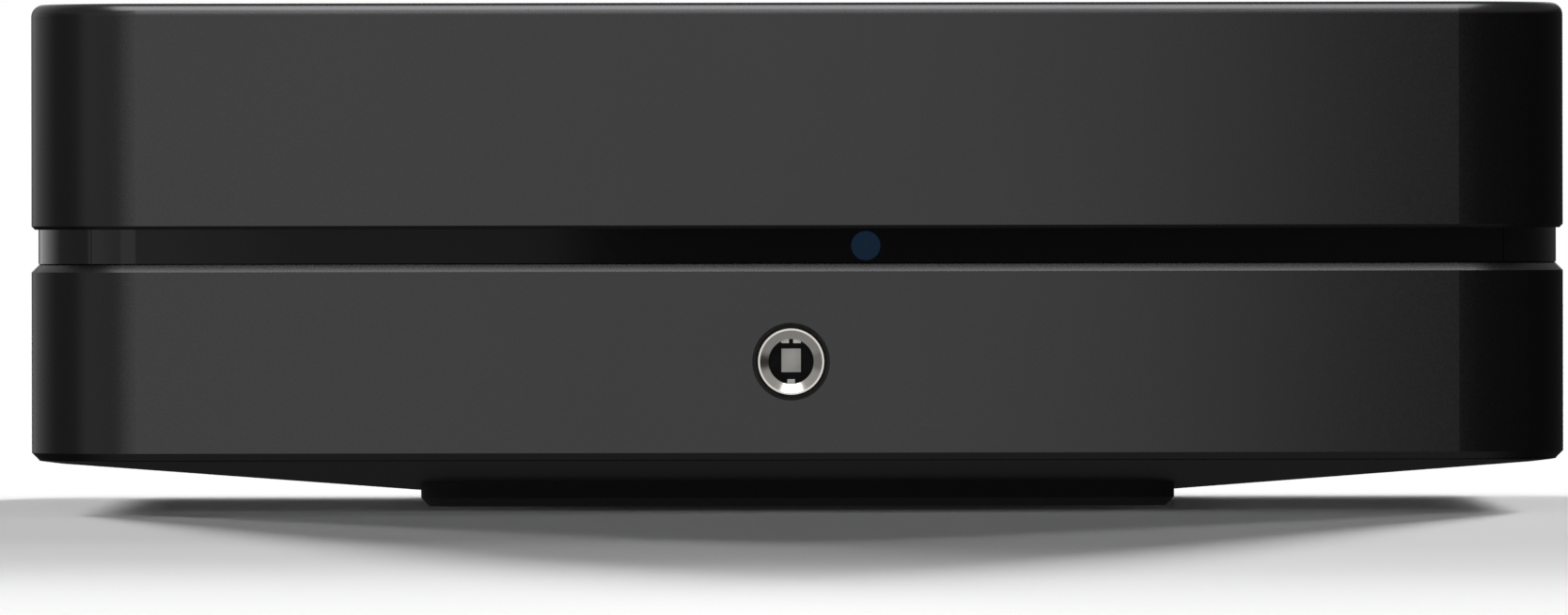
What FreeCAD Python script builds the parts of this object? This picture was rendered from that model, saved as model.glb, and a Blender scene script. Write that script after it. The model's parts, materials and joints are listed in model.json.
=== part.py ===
import FreeCAD, Part
import math
import os

# Compact streaming amplifier. Millimetres, +Z up, front faces -Y, +X to the viewer's right.
# The origin is the centre of the foot's underside, on the surface that it stands on.

# Sides of the many-sided prisms that stand for screws, bosses, cans and other small round pieces
HEX_SIDES = 6
FEW_SIDES = 8
MANY_SIDES = 16

# Case
CASE_WIDTH = 220.0
CASE_DEPTH = 178.0
CORNER_RADIUS = 15.5
SHELL_WALL = 2.5
TOP_WALL = 2.5
LOWER_HEIGHT = 28.2
WAIST_HEIGHT = 4.9
UPPER_HEIGHT = 32.3
TOP_EDGE_RADIUS = 1.75
UPPER_SKIRT_CHAMFER = 0.5
WAIST_EDGE_CHAMFER = 1.2
BASE_EDGE_CHAMFER = 1.1
FIT_GAP = 0.2

# Waist band and front window
WAIST_INSET = 1.0
BAND_WALL = 2.0
BAND_LAP = 3.0
WINDOW_END_ANGLE = 26.0
SEAM_GAP = 0.1
PEG_RADIUS = 1.25
PEG_SPACING = 36.0

# Base pan and foot
CASE_CLEARANCE = 7.1
PAN_INSET = 1.0
PAN_SLOPE = 5.2
PAN_WALL = 2.0
PAN_RIM = 2.0
PAN_POST_RADIUS = 4.5
PAN_POST_RISE = 1.5
FOOT_WIDTH = 109.4
FOOT_DEPTH = 102.0
FOOT_THICKNESS = 2.0
FOOT_RADIUS = 6.0
FOOT_EDGE_CHAMFER = 1.2
VENT_COUNT = 7
VENT_PITCH = 9.0
VENT_LENGTH = 20.0
VENT_WIDTH = 3.0
VENT_MARGIN = 10.0

# Case columns and screws
COLUMN_INSET = 9.0
COLUMN_END_INSET = 27.0
COLUMN_RADIUS = 3.5
CASE_SCREW_RADIUS = 1.5
CASE_SCREW_LENGTH = 16.0
CASE_SEAT_WALL = 1.9
COLUMN_ROOT = 0.6
CASE_HEAD_RADIUS = 2.8
CASE_HEAD_HEIGHT = 2.0
HEAD_CLEARANCE = 0.4
HOLE_CLEARANCE = 0.2
THREAD_CLEARANCE = 0.05

# Touch glass
TOUCH_WIDTH = 124.0
TOUCH_DEPTH = 48.0
TOUCH_RADIUS = 8.0
TOUCH_Y = -8.0
TOUCH_GLASS = 1.1
TOUCH_BOARD = 1.2
TOUCH_BOARD_MARGIN = 5.0

# Status light
LIGHT_X = 9.8
LIGHT_RADIUS = 2.0
LIGHT_CLEARANCE = 0.1
LIGHT_FLANGE_RADIUS = 3.0
LIGHT_FLANGE = 1.0
LIGHT_CHIP = 1.0
LIGHT_CHIP_SIDE = 3.0
STATUS_BOARD_WIDTH = 44.0
STATUS_BOARD_HEIGHT = 9.0
STATUS_BOARD_THICKNESS = 1.2
RECEIVER_WIDTH = 5.0
RECEIVER_HEIGHT = 4.0
RECEIVER_X = 10.0

# Headphone socket
HEADPHONE_X = -0.9
HEADPHONE_HOLE_RADIUS = 5.55
BEZEL_RADIUS = 5.0
BEZEL_MOUTH_RADIUS = 4.6
BEZEL_SETBACK = 0.1
BEZEL_CHAMFER = 1.4
BEZEL_TAIL = 2.0
PLUG_BORE_RADIUS = 3.24
SOCKET_BORE_RADIUS = 3.5
SOCKET_WIDTH = 15.0
SOCKET_HEIGHT = 14.0
SOCKET_LENGTH = 26.0
SOCKET_END_WALL = 2.0
HEADPHONE_BOARD_WIDTH = 22.0
HEADPHONE_BOARD_HEIGHT = 17.0
CONTACT_WIDTH = 1.1
CONTACT_LENGTH = 3.0
CONTACT_STAND = 0.9
CONTACT_SPACING = 1.7
CONTACT_DEPTH = 6.0
END_CONTACT_WIDTH = 2.8
END_CONTACT_HEIGHT = 3.4
END_CONTACT_THICKNESS = 0.6

# Rear panel
REAR_MARGIN = 20.0
REAR_RIM = 5.5
REAR_CORNER = 4.0
PANEL_THICKNESS = 1.5
PANEL_LAP = 3.0
CUTOUT_GAP = 0.25
PANEL_SCREW_INSET = 6.0
PANEL_SCREW_END = 9.5
PANEL_SCREW_RADIUS = 1.5
PANEL_SCREW_LENGTH = 6.0
PANEL_HEAD_RADIUS = 2.75
PANEL_HEAD_HEIGHT = 1.8

# Chassis tray, boards and spacers
TRAY_THICKNESS = 1.2
TRAY_GAP = 1.0
TAB_WIDTH = 10.0
TAB_TOP_GAP = 3.0
BOARD_THICKNESS = 1.6
BOARD_RISE = 5.0
BOARD_GAP = 4.0
BOARD_EDGE = 4.0
BOARD_REAR_GAP = 0.5
POWER_BOARD_LENGTH = 145.0
MAIN_BOARD_LENGTH = 62.0
AMP_BOARD_LENGTH = 130.0
AMP_BOARD_OVER_WAIST = 1.8
STACK_SETBACK = 30.0
SPACER_RADIUS = 2.9
STUD_RADIUS = 1.2
STUD_LENGTH = 4.0
BOARD_HEAD_RADIUS = 2.2
BOARD_HEAD_HEIGHT = 1.5

# Binding posts
POST_END_MARGIN = 22.0
POST_PITCH = 19.05
POST_PAIR_PITCH = 48.0
POST_OVER_WAIST = 13.0
BASE_FLANGE = 2.5
SPIGOT_RADIUS = 4.4
BASE_END_MARGIN = 7.0
BASE_HEIGHT = 13.0
INNER_WASHER = 1.5
STEM_RADIUS = 3.0
STEM_TIP_SETBACK = 1.0
NUT_RADIUS = 5.0
NUT_THICKNESS = 2.5
TAB_STRIP_WIDTH = 3.0
TAB_STRIP_THICKNESS = 1.0
BANANA_BORE_RADIUS = 2.05
BANANA_BORE_LENGTH = 8.0
WIRE_HOLE_RADIUS = 1.2
WIRE_HOLE_SETBACK = 1.5
RUNNING_GAP = 0.05
END_GAP = 0.15
WASHER_RADIUS = 5.2
WASHER_THICKNESS = 1.0
KNOB_RADIUS = 5.75
KNOB_LENGTH = 10.7
KNOB_NOSE_RADIUS = 4.9
KNOB_NOSE_LENGTH = 2.2
KNURL_COUNT = 16
KNURL_DEPTH = 0.55

# Mains inlet
INLET_END_MARGIN = 26.0
INLET_WIDTH = 24.0
INLET_HEIGHT = 16.0
INLET_LENGTH = 18.0
NOSE_WIDTH = 20.0
NOSE_HEIGHT = 12.0
NOSE_PROUD = 1.0
INLET_PIN_SPACING = 8.6
INLET_PIN_RADIUS = 1.2
INLET_PIN_SETBACK = 2.0
INLET_PIN_ROOT = 3.0
INLET_LOBE_RADIUS = 4.0
INLET_WAIST_HEIGHT = 6.4
INLET_CAVITY_DEPTH = 12.0

# Signal sockets
SOCKET_PITCH = 18.0
JACK_PITCH = 10.5
JACK_COUNT = 3
LOWER_ROW_MARGIN = 24.0
NETWORK_WIDTH = 16.0
NETWORK_HEIGHT = 13.4
NETWORK_LENGTH = 21.0
NETWORK_PROUD = 0.5
NETWORK_CAVITY_WIDTH = 11.8
NETWORK_CAVITY_HEIGHT = 7.2
NETWORK_CAVITY_DEPTH = 14.0
NETWORK_FLOOR = 2.2
NETWORK_LATCH_WIDTH = 6.0
NETWORK_LATCH_HEIGHT = 2.2
NETWORK_CONTACTS = 8
NETWORK_CONTACT_PITCH = 1.27
NETWORK_CONTACT_WIDTH = 0.5
NETWORK_CONTACT_LENGTH = 9.0
DATA_WIDTH = 14.4
DATA_HEIGHT = 7.0
DATA_LENGTH = 14.0
VIDEO_WIDTH = 15.2
VIDEO_HEIGHT = 6.2
VIDEO_LENGTH = 12.0
VIDEO_CHAMFER = 1.8
PORT_WALL = 0.5
PORT_END_WALL = 2.0
PORT_PROUD = 0.4
DATA_TONGUE_WIDTH = 11.1
DATA_TONGUE_HEIGHT = 1.9
DATA_TONGUE_SIDE = 0.9
VIDEO_TONGUE_WIDTH = 11.0
VIDEO_TONGUE_HEIGHT = 1.5
TONGUE_SETBACK = 1.5
COAXIAL_BODY = 10.4
COAXIAL_BODY_LENGTH = 12.0
COAXIAL_RADIUS = 4.15
COAXIAL_WALL = 0.8
COAXIAL_LENGTH = 8.5
COAXIAL_FLANGE_RADIUS = 5.0
COAXIAL_FLANGE = 1.0
COAXIAL_BORE_RADIUS = 1.65
COAXIAL_BORE_LENGTH = 11.0
JACK_WIDTH = 9.0
JACK_HEIGHT = 9.0
JACK_LENGTH = 13.0
JACK_NOSE_RADIUS = 3.2
JACK_PROUD = 0.8
JACK_BORE_RADIUS = 1.8
JACK_BORE_LENGTH = 13.0
JACK_PLATE_MARGIN = 2.0
JACK_PLATE_RISE = 1.5

# Power supply parts, placed from the rear panel forwards
FUSE_START = 24.0
FUSE_LENGTH = 20.0
FUSE_RADIUS = 2.6
FUSE_CAP_LENGTH = 5.0
FUSE_OFFSET = 16.0
FUSE_CLIP_WIDTH = 3.0
FUSE_RISE = 1.5
CHOKE_RADIUS = 9.0
CHOKE_HOLE_RADIUS = 4.0
CHOKE_HEIGHT = 9.0
CHOKE_BASE = 2.0
CHOKE_OFFSET = 7.0
CHOKE_Y = 34.0
CORE_WIDTH = 36.0
CORE_DEPTH = 18.0
CORE_HEIGHT = 28.0
CORE_LEG = 6.0
CORE_CENTRE_LEG = 11.0
CORE_Y = 66.0
WINDING_BUILD = 6.0
BIG_CAP_RADIUS = 9.0
BIG_CAP_HEIGHT = 30.0
BIG_CAP_SPACING = 22.0
BIG_CAP_Y = 94.0
SMALL_CAP_RADIUS = 6.5
SMALL_CAP_HEIGHT = 22.0
SMALL_CAP_SPACING = 18.0
SMALL_CAP_Y = 112.0
SINK_Y = 125.0
SINK_WIDTH = 40.0
SINK_HEIGHT = 28.0
SINK_BASE = 3.0
SINK_FIN = 1.6
SINK_FIN_LENGTH = 10.0
SINK_FINS = 7

# Amplifier and main board parts, placed from the rear panel forwards
CHIP_SIDE = 14.0
CHIP_HEIGHT = 2.0
CHIP_SPACING = 36.0
CHIP_Y = 84.0
AMP_SINK_WIDTH = 84.0
AMP_SINK_DEPTH = 36.0
AMP_SINK_BASE = 4.0
AMP_SINK_FINS = 13
AMP_SINK_FIN = 1.8
AMP_SINK_HEADROOM = 4.0
INDUCTOR_SIDE = 13.0
INDUCTOR_HEIGHT = 12.0
INDUCTOR_Y = 50.0
FILM_CAP_WIDTH = 13.0
FILM_CAP_DEPTH = 6.0
FILM_CAP_HEIGHT = 11.0
FILM_CAP_Y = 28.0
OUTPUT_PITCH = 19.0
PROCESSOR_SIDE = 18.0
PROCESSOR_HEIGHT = 1.6
PROCESSOR_SINK_SIDE = 28.0
PROCESSOR_SINK_HEIGHT = 8.0
PROCESSOR_SINK_FINS = 7
PROCESSOR_SINK_BASE = 2.0
PROCESSOR_SINK_FIN = 1.2
PROCESSOR_OFFSET = -8.0
PROCESSOR_Y = 40.0
RADIO_WIDTH = 22.0
RADIO_DEPTH = 18.0
RADIO_HEIGHT = 3.0
RADIO_OFFSET = 30.0
ANTENNA_LENGTH = 40.0
ANTENNA_HEIGHT = 12.0
ANTENNA_THICKNESS = 0.8
ANTENNA_RISE = 6.0
ANTENNA_Y = -34.0

# Levels
WAIST_Z = CASE_CLEARANCE + LOWER_HEIGHT
UPPER_Z = WAIST_Z + WAIST_HEIGHT
TOP_Z = UPPER_Z + UPPER_HEIGHT
CEILING_Z = TOP_Z - TOP_WALL
TRAY_Z = CASE_CLEARANCE + PAN_RIM + PAN_POST_RISE
TRAY_TOP = TRAY_Z + TRAY_THICKNESS
SCREW_SEAT_Z = TRAY_Z - CASE_SEAT_WALL
BOARD_Z = TRAY_TOP + BOARD_RISE
BOARD_TOP = BOARD_Z + BOARD_THICKNESS
AMP_BOARD_Z = UPPER_Z + AMP_BOARD_OVER_WAIST
AMP_BOARD_TOP = AMP_BOARD_Z + BOARD_THICKNESS
LIGHT_Z = WAIST_Z + WAIST_HEIGHT / 2
HEADPHONE_Z = CASE_CLEARANCE + LOWER_HEIGHT / 2
POST_Z = UPPER_Z + POST_OVER_WAIST
REAR_LOW_Z = CASE_CLEARANCE + REAR_RIM
REAR_HIGH_Z = TOP_Z - REAR_RIM
REAR_MID_Z = (REAR_LOW_Z + REAR_HIGH_Z) / 2
REAR_HEIGHT = REAR_HIGH_Z - REAR_LOW_Z

# Places along the depth
FRONT_Y = -CASE_DEPTH / 2
BACK_Y = CASE_DEPTH / 2
PANEL_OUTER_Y = BACK_Y - SHELL_WALL
PANEL_INNER_Y = PANEL_OUTER_Y - PANEL_THICKNESS
BOARD_REAR_Y = PANEL_INNER_Y - TRAY_THICKNESS - BOARD_REAR_GAP
BAND_INNER_INSET = SHELL_WALL + FIT_GAP + BAND_WALL
BAND_INNER_Y = FRONT_Y + BAND_INNER_INSET
STATUS_BOARD_Y = BAND_INNER_Y + LIGHT_FLANGE + LIGHT_CHIP
SOCKET_FRONT_Y = FRONT_Y + SHELL_WALL
SOCKET_BACK_Y = SOCKET_FRONT_Y + SOCKET_LENGTH

# Places across the width
REAR_WIDTH = CASE_WIDTH - 2 * REAR_MARGIN
COLUMN_X = CASE_WIDTH / 2 - COLUMN_INSET
COLUMN_Y = CASE_DEPTH / 2 - COLUMN_END_INSET
NETWORK_X = REAR_WIDTH / 2 - LOWER_ROW_MARGIN
DATA_X = NETWORK_X - SOCKET_PITCH
VIDEO_X = DATA_X - SOCKET_PITCH
COAXIAL_X = VIDEO_X - SOCKET_PITCH
JACK_XS = [COAXIAL_X - JACK_PITCH * (index + 1) for index in range(JACK_COUNT)]
INLET_X = INLET_END_MARGIN - REAR_WIDTH / 2
POST_FIRST_X = REAR_WIDTH / 2 - POST_END_MARGIN
POST_XS = [POST_FIRST_X - pair * POST_PAIR_PITCH - side * POST_PITCH for pair in (0, 1) for side in (0, 1)]
TAB_X = REAR_WIDTH / 2 - PANEL_SCREW_INSET
BOARD_RIGHT = COLUMN_X - COLUMN_RADIUS - 2 * FIT_GAP
MAIN_LEFT = JACK_XS[-1] - JACK_WIDTH / 2 - BOARD_EDGE / 2
POWER_LEFT = -BOARD_RIGHT
POWER_RIGHT = MAIN_LEFT - BOARD_GAP
POWER_X = (POWER_LEFT + POWER_RIGHT) / 2
MAIN_X = (MAIN_LEFT + BOARD_RIGHT) / 2

# Binding post levels, outwards from the rear panel
BASE_TOP_Y = PANEL_OUTER_Y + BASE_FLANGE
WASHER_Y = BASE_TOP_Y + END_GAP
KNOB_Y = WASHER_Y + WASHER_THICKNESS + END_GAP
KNOB_TIP_Y = KNOB_Y + KNOB_LENGTH
STEM_TIP_Y = KNOB_TIP_Y - STEM_TIP_SETBACK
NUT_Y = PANEL_INNER_Y - INNER_WASHER - NUT_THICKNESS

LEVEL_TOLERANCE = 0.01


# Basic solids
def vector(x, y, z):
    return FreeCAD.Vector(x, y, z)


def box(x0, x1, y0, y1, z0, z1):
    return Part.makeBox(x1 - x0, y1 - y0, z1 - z0, vector(x0, y0, z0))


def bar(x, width, y0, y1, z0, z1):
    return box(x - width / 2, x + width / 2, y0, y1, z0, z1)


def block(x, y, width, depth, z0, height):
    return bar(x, width, y - depth / 2, y + depth / 2, z0, z0 + height)


def rod_y(radius, x, z, y0, y1):
    return Part.makeCylinder(radius, y1 - y0, vector(x, y0, z), vector(0, 1, 0))


def sided_prism(radius, sides, height):
    corners = []
    for index in range(sides):
        turn = math.tau * (index + 0.5) / sides
        corners.append(vector(radius * math.cos(turn), radius * math.sin(turn), 0))
    return Part.Face(Part.makePolygon(corners + corners[:1])).extrude(vector(0, 0, height))


def prism_z(radius, sides, x, y, z0, z1):
    solid = sided_prism(radius, sides, z1 - z0)
    solid.translate(vector(x, y, z0))
    return solid


def prism_y(radius, sides, x, z, y0, y1):
    solid = sided_prism(radius, sides, y1 - y0)
    solid.rotate(vector(0, 0, 0), vector(1, 0, 0), 90)
    solid.translate(vector(x, y1, z))
    return solid


def joined(*solids):
    return solids[0].fuse(list(solids[1:])).removeSplitter()


def rounded_outline(width, depth, radius, z):
    arcs = []
    for quarter in range(4):
        start = quarter * math.pi / 2
        middle = start + math.pi / 4
        centre_x = math.copysign(width / 2 - radius, math.cos(middle))
        centre_y = math.copysign(depth / 2 - radius, math.sin(middle))
        circle = Part.Circle(vector(centre_x, centre_y, z), vector(0, 0, 1), radius)
        arcs.append(Part.Arc(circle, start, start + math.pi / 2).toShape())
    edges = []
    for index, arc in enumerate(arcs):
        following = arcs[(index + 1) % 4]
        edges.append(arc)
        edges.append(Part.makeLine(arc.lastVertex().Point, following.firstVertex().Point))
    return Part.Wire(edges)


def rounded_prism(width, depth, radius, z0, z1):
    face = Part.Face(rounded_outline(width, depth, radius, z0))
    return face.extrude(vector(0, 0, z1 - z0))


def case_outline(inset, radius, z):
    return rounded_outline(CASE_WIDTH - 2 * inset, CASE_DEPTH - 2 * inset, radius, z)


def case_prism(inset, z0, z1):
    return Part.Face(case_outline(inset, CORNER_RADIUS - inset, z0)).extrude(vector(0, 0, z1 - z0))


def rounded_block(x, y, width, depth, radius, z0, height):
    solid = rounded_prism(width, depth, radius, z0, z0 + height)
    solid.translate(vector(x, y, 0))
    return solid


def upright_prism(width, height, radius, x, z, y0, y1):
    solid = rounded_prism(width, height, radius, 0, y1 - y0)
    solid.rotate(vector(0, 0, 0), vector(1, 0, 0), 90)
    solid.translate(vector(x, y1, z))
    return solid


def level_edges(solid, z):
    spans = [(edge, edge.BoundBox) for edge in solid.Edges]
    return [edge for edge, span in spans
            if abs(span.ZMin - z) < LEVEL_TOLERANCE and abs(span.ZMax - z) < LEVEL_TOLERANCE]


def column_places():
    return [(side * COLUMN_X, end * COLUMN_Y) for side in (-1, 1) for end in (-1, 1)]


# Case shells
def rear_opening():
    return upright_prism(REAR_WIDTH, REAR_HEIGHT, REAR_CORNER, 0, REAR_MID_Z,
                         PANEL_INNER_Y, BACK_Y + SHELL_WALL)


def upper_shell():
    shell = case_prism(0, UPPER_Z, TOP_Z)
    shell = shell.makeFillet(TOP_EDGE_RADIUS, level_edges(shell, TOP_Z))
    shell = shell.makeChamfer(UPPER_SKIRT_CHAMFER, level_edges(shell, UPPER_Z))
    shell = shell.cut([case_prism(SHELL_WALL, UPPER_Z - SHELL_WALL, CEILING_Z), rear_opening()])
    bore_radius = CASE_SCREW_RADIUS + THREAD_CLEARANCE
    columns = [prism_z(COLUMN_RADIUS, FEW_SIDES, x, y, TRAY_TOP, CEILING_Z + COLUMN_ROOT)
               for x, y in column_places()]
    bores = [prism_z(bore_radius, FEW_SIDES, x, y, TRAY_TOP, TRAY_TOP + CASE_SCREW_LENGTH)
             for x, y in column_places()]
    recess = rounded_block(0, TOUCH_Y, TOUCH_WIDTH + 2 * FIT_GAP, TOUCH_DEPTH + 2 * FIT_GAP,
                           TOUCH_RADIUS + FIT_GAP, TOP_Z - TOUCH_GLASS, TOP_WALL)
    return joined(shell, *columns).cut(bores + [recess])


def lower_shell():
    shell = case_prism(0, CASE_CLEARANCE, WAIST_Z)
    shell = shell.makeChamfer(WAIST_EDGE_CHAMFER, level_edges(shell, WAIST_Z))
    shell = shell.makeChamfer(BASE_EDGE_CHAMFER, level_edges(shell, CASE_CLEARANCE))
    inside = case_prism(SHELL_WALL, CASE_CLEARANCE - SHELL_WALL, WAIST_Z + SHELL_WALL)
    hole = rod_y(HEADPHONE_HOLE_RADIUS, HEADPHONE_X, HEADPHONE_Z, FRONT_Y, SOCKET_FRONT_Y)
    return shell.cut([inside, hole, rear_opening()])


# Waist band, in two lengths: the front window and the band round the sides
def waist_ring():
    rib = case_prism(WAIST_INSET, WAIST_Z, UPPER_Z)
    tongue = case_prism(SHELL_WALL + FIT_GAP, WAIST_Z - BAND_LAP, UPPER_Z + BAND_LAP)
    inside = case_prism(BAND_INNER_INSET, WAIST_Z - 2 * BAND_LAP, UPPER_Z + 2 * BAND_LAP)
    return joined(rib, tongue).cut(inside)


def window_slab(gap):
    turn = (CORNER_RADIUS - WAIST_INSET) * math.sin(math.radians(WINDOW_END_ANGLE))
    width = CASE_WIDTH - 2 * (CORNER_RADIUS - turn - gap)
    return bar(0, width, FRONT_Y, FRONT_Y + CORNER_RADIUS, WAIST_Z - 2 * BAND_LAP,
               UPPER_Z + 2 * BAND_LAP)


def waist_band():
    panel_space = bar(0, REAR_WIDTH + 2 * (PANEL_LAP + FIT_GAP), PANEL_INNER_Y - TRAY_THICKNESS,
                      PANEL_OUTER_Y + FIT_GAP, TRAY_Z, TOP_Z)
    return waist_ring().cut([window_slab(SEAM_GAP), rear_opening(), panel_space])


def front_window():
    window = waist_ring().common(window_slab(0))
    peg_xs = [LIGHT_X - PEG_SPACING / 2, LIGHT_X + PEG_SPACING / 2]
    pegs = [prism_y(PEG_RADIUS, FEW_SIDES, x, LIGHT_Z, BAND_INNER_Y - BAND_WALL / 2, STATUS_BOARD_Y)
            for x in peg_xs]
    hole = rod_y(LIGHT_RADIUS + LIGHT_CLEARANCE, LIGHT_X, LIGHT_Z, FRONT_Y, BAND_INNER_Y + LIGHT_FLANGE)
    return joined(window, *pegs).cut(hole)


# Base pan and foot
def pan_hull(top_inset, top_z, floor_z):
    spread = (top_z - floor_z) / math.tan(math.radians(PAN_SLOPE))
    top_x = CASE_WIDTH / 2 - top_inset
    top_y = CASE_DEPTH / 2 - top_inset
    hull = Part.makeWedge(spread - top_x, floor_z, spread - top_y, -top_y, -top_x,
                          top_x - spread, top_z, top_y - spread, top_y, top_x)
    hull.rotate(vector(0, 0, 0), vector(1, 0, 0), 90)
    return hull.common(case_prism(top_inset, floor_z, top_z))


def vent_slots():
    reach = FOOT_WIDTH / 2 + VENT_MARGIN + VENT_LENGTH / 2
    rows = [(index - (VENT_COUNT - 1) / 2) * VENT_PITCH for index in range(VENT_COUNT)]
    return [block(x, y, VENT_LENGTH, VENT_WIDTH, 0, TRAY_Z) for x in (-reach, reach) for y in rows]


def base_pan():
    rim_inset = SHELL_WALL + FIT_GAP
    rim_top = CASE_CLEARANCE + PAN_RIM
    rim = case_prism(rim_inset, CASE_CLEARANCE, rim_top)
    pan = joined(pan_hull(PAN_INSET, CASE_CLEARANCE, FOOT_THICKNESS), rim)
    pan = pan.cut(pan_hull(rim_inset + PAN_WALL, rim_top, FOOT_THICKNESS + PAN_WALL))
    head_radius = CASE_HEAD_RADIUS + HEAD_CLEARANCE
    shank_radius = CASE_SCREW_RADIUS + HOLE_CLEARANCE
    posts = [prism_z(PAN_POST_RADIUS, FEW_SIDES, x, y, CASE_CLEARANCE, TRAY_Z) for x, y in column_places()]
    holes = [prism_z(head_radius, FEW_SIDES, x, y, 0, SCREW_SEAT_Z) for x, y in column_places()]
    holes += [prism_z(shank_radius, FEW_SIDES, x, y, 0, TRAY_Z) for x, y in column_places()]
    return joined(pan, *posts).cut(holes + vent_slots())


def foot():
    pad = rounded_prism(FOOT_WIDTH, FOOT_DEPTH, FOOT_RADIUS, 0, CASE_CLEARANCE)
    pad = pad.makeChamfer(min(FOOT_EDGE_CHAMFER, 0.8 * FOOT_THICKNESS), level_edges(pad, 0))
    return pad.cut(pan_hull(PAN_INSET, CASE_CLEARANCE, FOOT_THICKNESS))


def case_screws():
    screws = []
    for x, y in column_places():
        shank = prism_z(CASE_SCREW_RADIUS, FEW_SIDES, x, y, SCREW_SEAT_Z - CASE_HEAD_HEIGHT / 2,
                        SCREW_SEAT_Z + CASE_SCREW_LENGTH)
        head = prism_z(CASE_HEAD_RADIUS, FEW_SIDES, x, y, SCREW_SEAT_Z - CASE_HEAD_HEIGHT, SCREW_SEAT_Z)
        screws.append(joined(shank, head))
    return Part.makeCompound(screws)


# Touch glass in the top, with its board under the shell
def touch_glass():
    glass_z = TOP_Z - TOUCH_GLASS
    return rounded_block(0, TOUCH_Y, TOUCH_WIDTH, TOUCH_DEPTH, TOUCH_RADIUS, glass_z, TOUCH_GLASS)


def touch_board():
    return block(0, TOUCH_Y, TOUCH_WIDTH - 2 * TOUCH_BOARD_MARGIN, TOUCH_DEPTH - 2 * TOUCH_BOARD_MARGIN,
                 CEILING_Z - TOUCH_BOARD, TOUCH_BOARD)


# Status light
def status_lens():
    pipe = rod_y(LIGHT_RADIUS, LIGHT_X, LIGHT_Z, FRONT_Y + WAIST_INSET, BAND_INNER_Y + LIGHT_FLANGE / 2)
    flange = prism_y(LIGHT_FLANGE_RADIUS, FEW_SIDES, LIGHT_X, LIGHT_Z, BAND_INNER_Y,
                     BAND_INNER_Y + LIGHT_FLANGE)
    return joined(pipe, flange)


def status_board():
    board = bar(LIGHT_X, STATUS_BOARD_WIDTH, STATUS_BOARD_Y,
                STATUS_BOARD_Y + STATUS_BOARD_THICKNESS, LIGHT_Z - STATUS_BOARD_HEIGHT / 2,
                LIGHT_Z + STATUS_BOARD_HEIGHT / 2)
    chip = bar(LIGHT_X, LIGHT_CHIP_SIDE, STATUS_BOARD_Y - LIGHT_CHIP,
               STATUS_BOARD_Y, LIGHT_Z - LIGHT_CHIP_SIDE / 2, LIGHT_Z + LIGHT_CHIP_SIDE / 2)
    receiver_x = LIGHT_X + RECEIVER_X
    receiver = bar(receiver_x, RECEIVER_WIDTH, BAND_INNER_Y + FIT_GAP,
                   STATUS_BOARD_Y, LIGHT_Z - RECEIVER_HEIGHT / 2, LIGHT_Z + RECEIVER_HEIGHT / 2)
    return Part.makeCompound([board, chip, receiver])


# Headphone socket: turned bezel, moulded body, spring contacts
def headphone_bezel():
    mouth_y = FRONT_Y + BEZEL_SETBACK
    tail_y = SOCKET_FRONT_Y + BEZEL_TAIL
    corners = [vector(PLUG_BORE_RADIUS, mouth_y + BEZEL_CHAMFER, 0), vector(BEZEL_MOUTH_RADIUS, mouth_y, 0),
               vector(BEZEL_RADIUS, mouth_y, 0), vector(BEZEL_RADIUS, tail_y, 0),
               vector(PLUG_BORE_RADIUS, tail_y, 0)]
    section = Part.Face(Part.makePolygon(corners + corners[:1]))
    bezel = section.revolve(vector(0, 0, 0), vector(0, 1, 0), 360)
    bezel.translate(vector(HEADPHONE_X, 0, HEADPHONE_Z))
    return bezel


def side_contact(x, direction, depth):
    root = HEADPHONE_Z + direction * (SOCKET_BORE_RADIUS + CONTACT_STAND / 2)
    tip = HEADPHONE_Z + direction * (SOCKET_BORE_RADIUS - CONTACT_STAND)
    y = SOCKET_FRONT_Y + depth
    return bar(x, CONTACT_WIDTH, y, y + CONTACT_LENGTH, min(root, tip), max(root, tip))


def headphone_contacts():
    upper = [side_contact(HEADPHONE_X + side * CONTACT_SPACING / 2, 1, CONTACT_DEPTH) for side in (-1, 1)]
    lower = side_contact(HEADPHONE_X, -1, CONTACT_DEPTH + CONTACT_LENGTH)
    end_y = SOCKET_BACK_Y - SOCKET_END_WALL
    end = bar(HEADPHONE_X, END_CONTACT_WIDTH, end_y - END_CONTACT_THICKNESS,
              end_y, HEADPHONE_Z - END_CONTACT_HEIGHT / 2, HEADPHONE_Z + END_CONTACT_HEIGHT / 2)
    return Part.makeCompound(upper + [lower, end])


def headphone_socket():
    body = bar(HEADPHONE_X, SOCKET_WIDTH, SOCKET_FRONT_Y, SOCKET_BACK_Y,
               HEADPHONE_Z - SOCKET_HEIGHT / 2, HEADPHONE_Z + SOCKET_HEIGHT / 2)
    bore_end = SOCKET_BACK_Y - SOCKET_END_WALL
    bore = rod_y(SOCKET_BORE_RADIUS, HEADPHONE_X, HEADPHONE_Z, SOCKET_FRONT_Y, bore_end)
    seat = rod_y(BEZEL_RADIUS + THREAD_CLEARANCE, HEADPHONE_X, HEADPHONE_Z, SOCKET_FRONT_Y,
                 SOCKET_FRONT_Y + BEZEL_TAIL)
    return body.cut([bore, seat] + headphone_contacts().Solids)


def headphone_board():
    return bar(HEADPHONE_X, HEADPHONE_BOARD_WIDTH, SOCKET_BACK_Y,
               SOCKET_BACK_Y + BOARD_THICKNESS, HEADPHONE_Z - HEADPHONE_BOARD_HEIGHT / 2,
               HEADPHONE_Z + HEADPHONE_BOARD_HEIGHT / 2)


# Rear panel with its cut-outs and screws
def panel_screw_places():
    return [(side * TAB_X, z) for side in (-1, 1)
            for z in (REAR_LOW_Z + PANEL_SCREW_END, REAR_HIGH_Z - PANEL_SCREW_END)]


def inlet_z():
    return BOARD_TOP + INLET_HEIGHT / 2


def jack_z():
    return BOARD_TOP + JACK_HEIGHT / 2


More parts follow.
